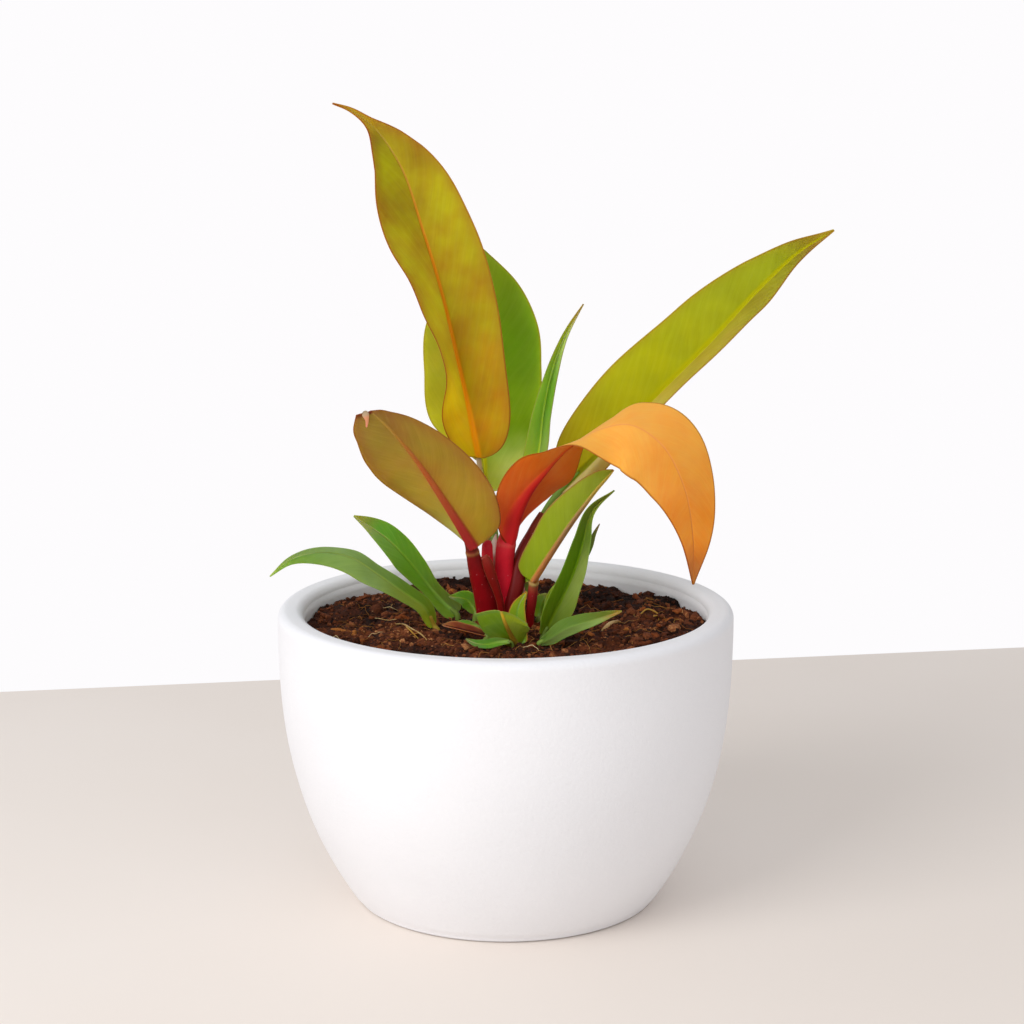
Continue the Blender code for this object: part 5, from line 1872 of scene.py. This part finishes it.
@dataclass
class Stage:
    """Table, lights, world and camera."""

    groups: Groups
    back_edge: tuple[tuple[float, float], tuple[float, float]] = ((-0.26, 0.293), (0.28, 0.383))
    table_reach: float = 2.0
    table_front: float = -1.6
    table_thick: float = 0.03
    table_top: float = -0.0002
    table_edge: float = 0.002
    sensor: float = 36.0
    lens: float = 83.0
    eye: tuple[float, float, float] = (0.00244, -0.900, 0.3336)
    pitch: float = 11.308
    aim: tuple[float, float, float] = (0.0, 0.0, 0.12)
    backdrop: tuple[float, float, float, float] = (0.985, 0.972, 0.985, 1.0)
    sky: tuple[float, float, float, float] = (0.97, 0.975, 1.0, 1.0)
    sky_strength: float = 0.68

    def table(self) -> None:
        """A pale slab whose back edge crosses the view at a slight angle."""
        (x0, y0), (x1, y1) = self.back_edge
        slope = (y1 - y0) / (x1 - x0)
        reach = self.table_reach
        corners = [(-reach, self.table_front), (reach, self.table_front),
                   (reach, y0 + slope * (reach - x0)), (-reach, y0 + slope * (-reach - x0))]
        points = [(x, y, z) for z in (-self.table_thick, self.table_top) for x, y in corners]
        faces = [(3, 2, 1, 0), (4, 5, 6, 7)] + [(i, (i + 1) % 4, (i + 1) % 4 + 4, i + 4) for i in range(4)]
        mesh = bpy.data.meshes.new("table")
        mesh.from_pydata(points, [], faces)
        table = bpy.data.objects.new("table", mesh)
        bpy.context.scene.collection.objects.link(table)
        edge = table.modifiers.new("edge", "BEVEL")
        edge.width = self.table_edge
        edge.segments = 3
        material, tree = new_material("warm_table_top")
        patches = tree.group(self.groups.mottle, Scale=3.0, Seed=1.0).outputs["Patch"]
        colour = tree.ramp(patches, ((0.0, "f3eae2"), (1.0, "f0e6dd")))
        grain = tree.group(self.groups.grain, Scale=500.0).outputs["Height"]
        tree.surface(colour, 0.6, tree.bump(grain, 0.0001, 0.3), Specular_IOR_Level=0.2)
        mesh.materials.append(material)

    def lamp(self, name: str, place: tuple[float, float, float], power: float, size: float) -> None:
        """A square soft light aimed at the plant.

        Args:
            name: the light's name.
            place: where it hangs, in metres.
            power: watts.
            size: side length in metres.
        """
        light = bpy.data.lights.new(name, "AREA")
        light.energy = power
        light.size = size
        lamp = bpy.data.objects.new(name, light)
        lamp.location = place
        lamp.rotation_euler = (Vector(self.aim) - Vector(place)).to_track_quat("-Z", "Y").to_euler()
        bpy.context.scene.collection.objects.link(lamp)

    def world(self) -> None:
        """White backdrop for the camera, and a dimmer even light on the object."""
        world = bpy.data.worlds.new("studio")
        bpy.context.scene.world = world
        world.use_nodes = True
        tree = Tree(world.node_tree)
        seen = tree.add("ShaderNodeBackground", Color=self.backdrop, Strength=1.0)
        glow = tree.add("ShaderNodeBackground", Color=self.sky, Strength=self.sky_strength)
        path = tree.add("ShaderNodeLightPath").outputs["Is Camera Ray"]
        mix = tree.add("ShaderNodeMixShader", i0=path, i1=glow.outputs[0], i2=seen.outputs[0])
        output = tree.add("ShaderNodeOutputWorld")
        tree.tree.links.new(mix.outputs[0], output.inputs["Surface"])

    def camera(self) -> None:
        """The photo's viewpoint."""
        data = bpy.data.cameras.new("camera")
        data.lens = self.lens
        data.sensor_width = self.sensor
        camera = bpy.data.objects.new("camera", data)
        camera.location = self.eye
        camera.rotation_euler = (math.radians(90 - self.pitch), 0, 0)
        bpy.context.scene.collection.objects.link(camera)
        bpy.context.scene.camera = camera

    def build(self) -> None:
        """Set the whole stage."""
        self.table()
        self.world()
        self.lamp("key_light", (-0.95, -0.95, 0.85), 11.5, 0.9)
        self.lamp("fill_light", (-0.2, -1.4, 0.45), 2.6, 1.2)
        self.camera()
        bpy.context.scene.view_settings.view_transform = "Standard"


def main() -> None:
    """Build the plant, its pot and the stage."""
    logging.basicConfig(level=logging.INFO, format="%(message)s")
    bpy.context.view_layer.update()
    groups = Groups()
    Stage(groups).build()
    pot = Pot()
    add_piece("white_pot_body", pot.build(), pot.dress(groups), "white_pot", "planter_pot")
    PottingMix(groups).build()
    Crown(groups).build()
    Foliage(groups).build()


if __name__ == "__main__":
    main()
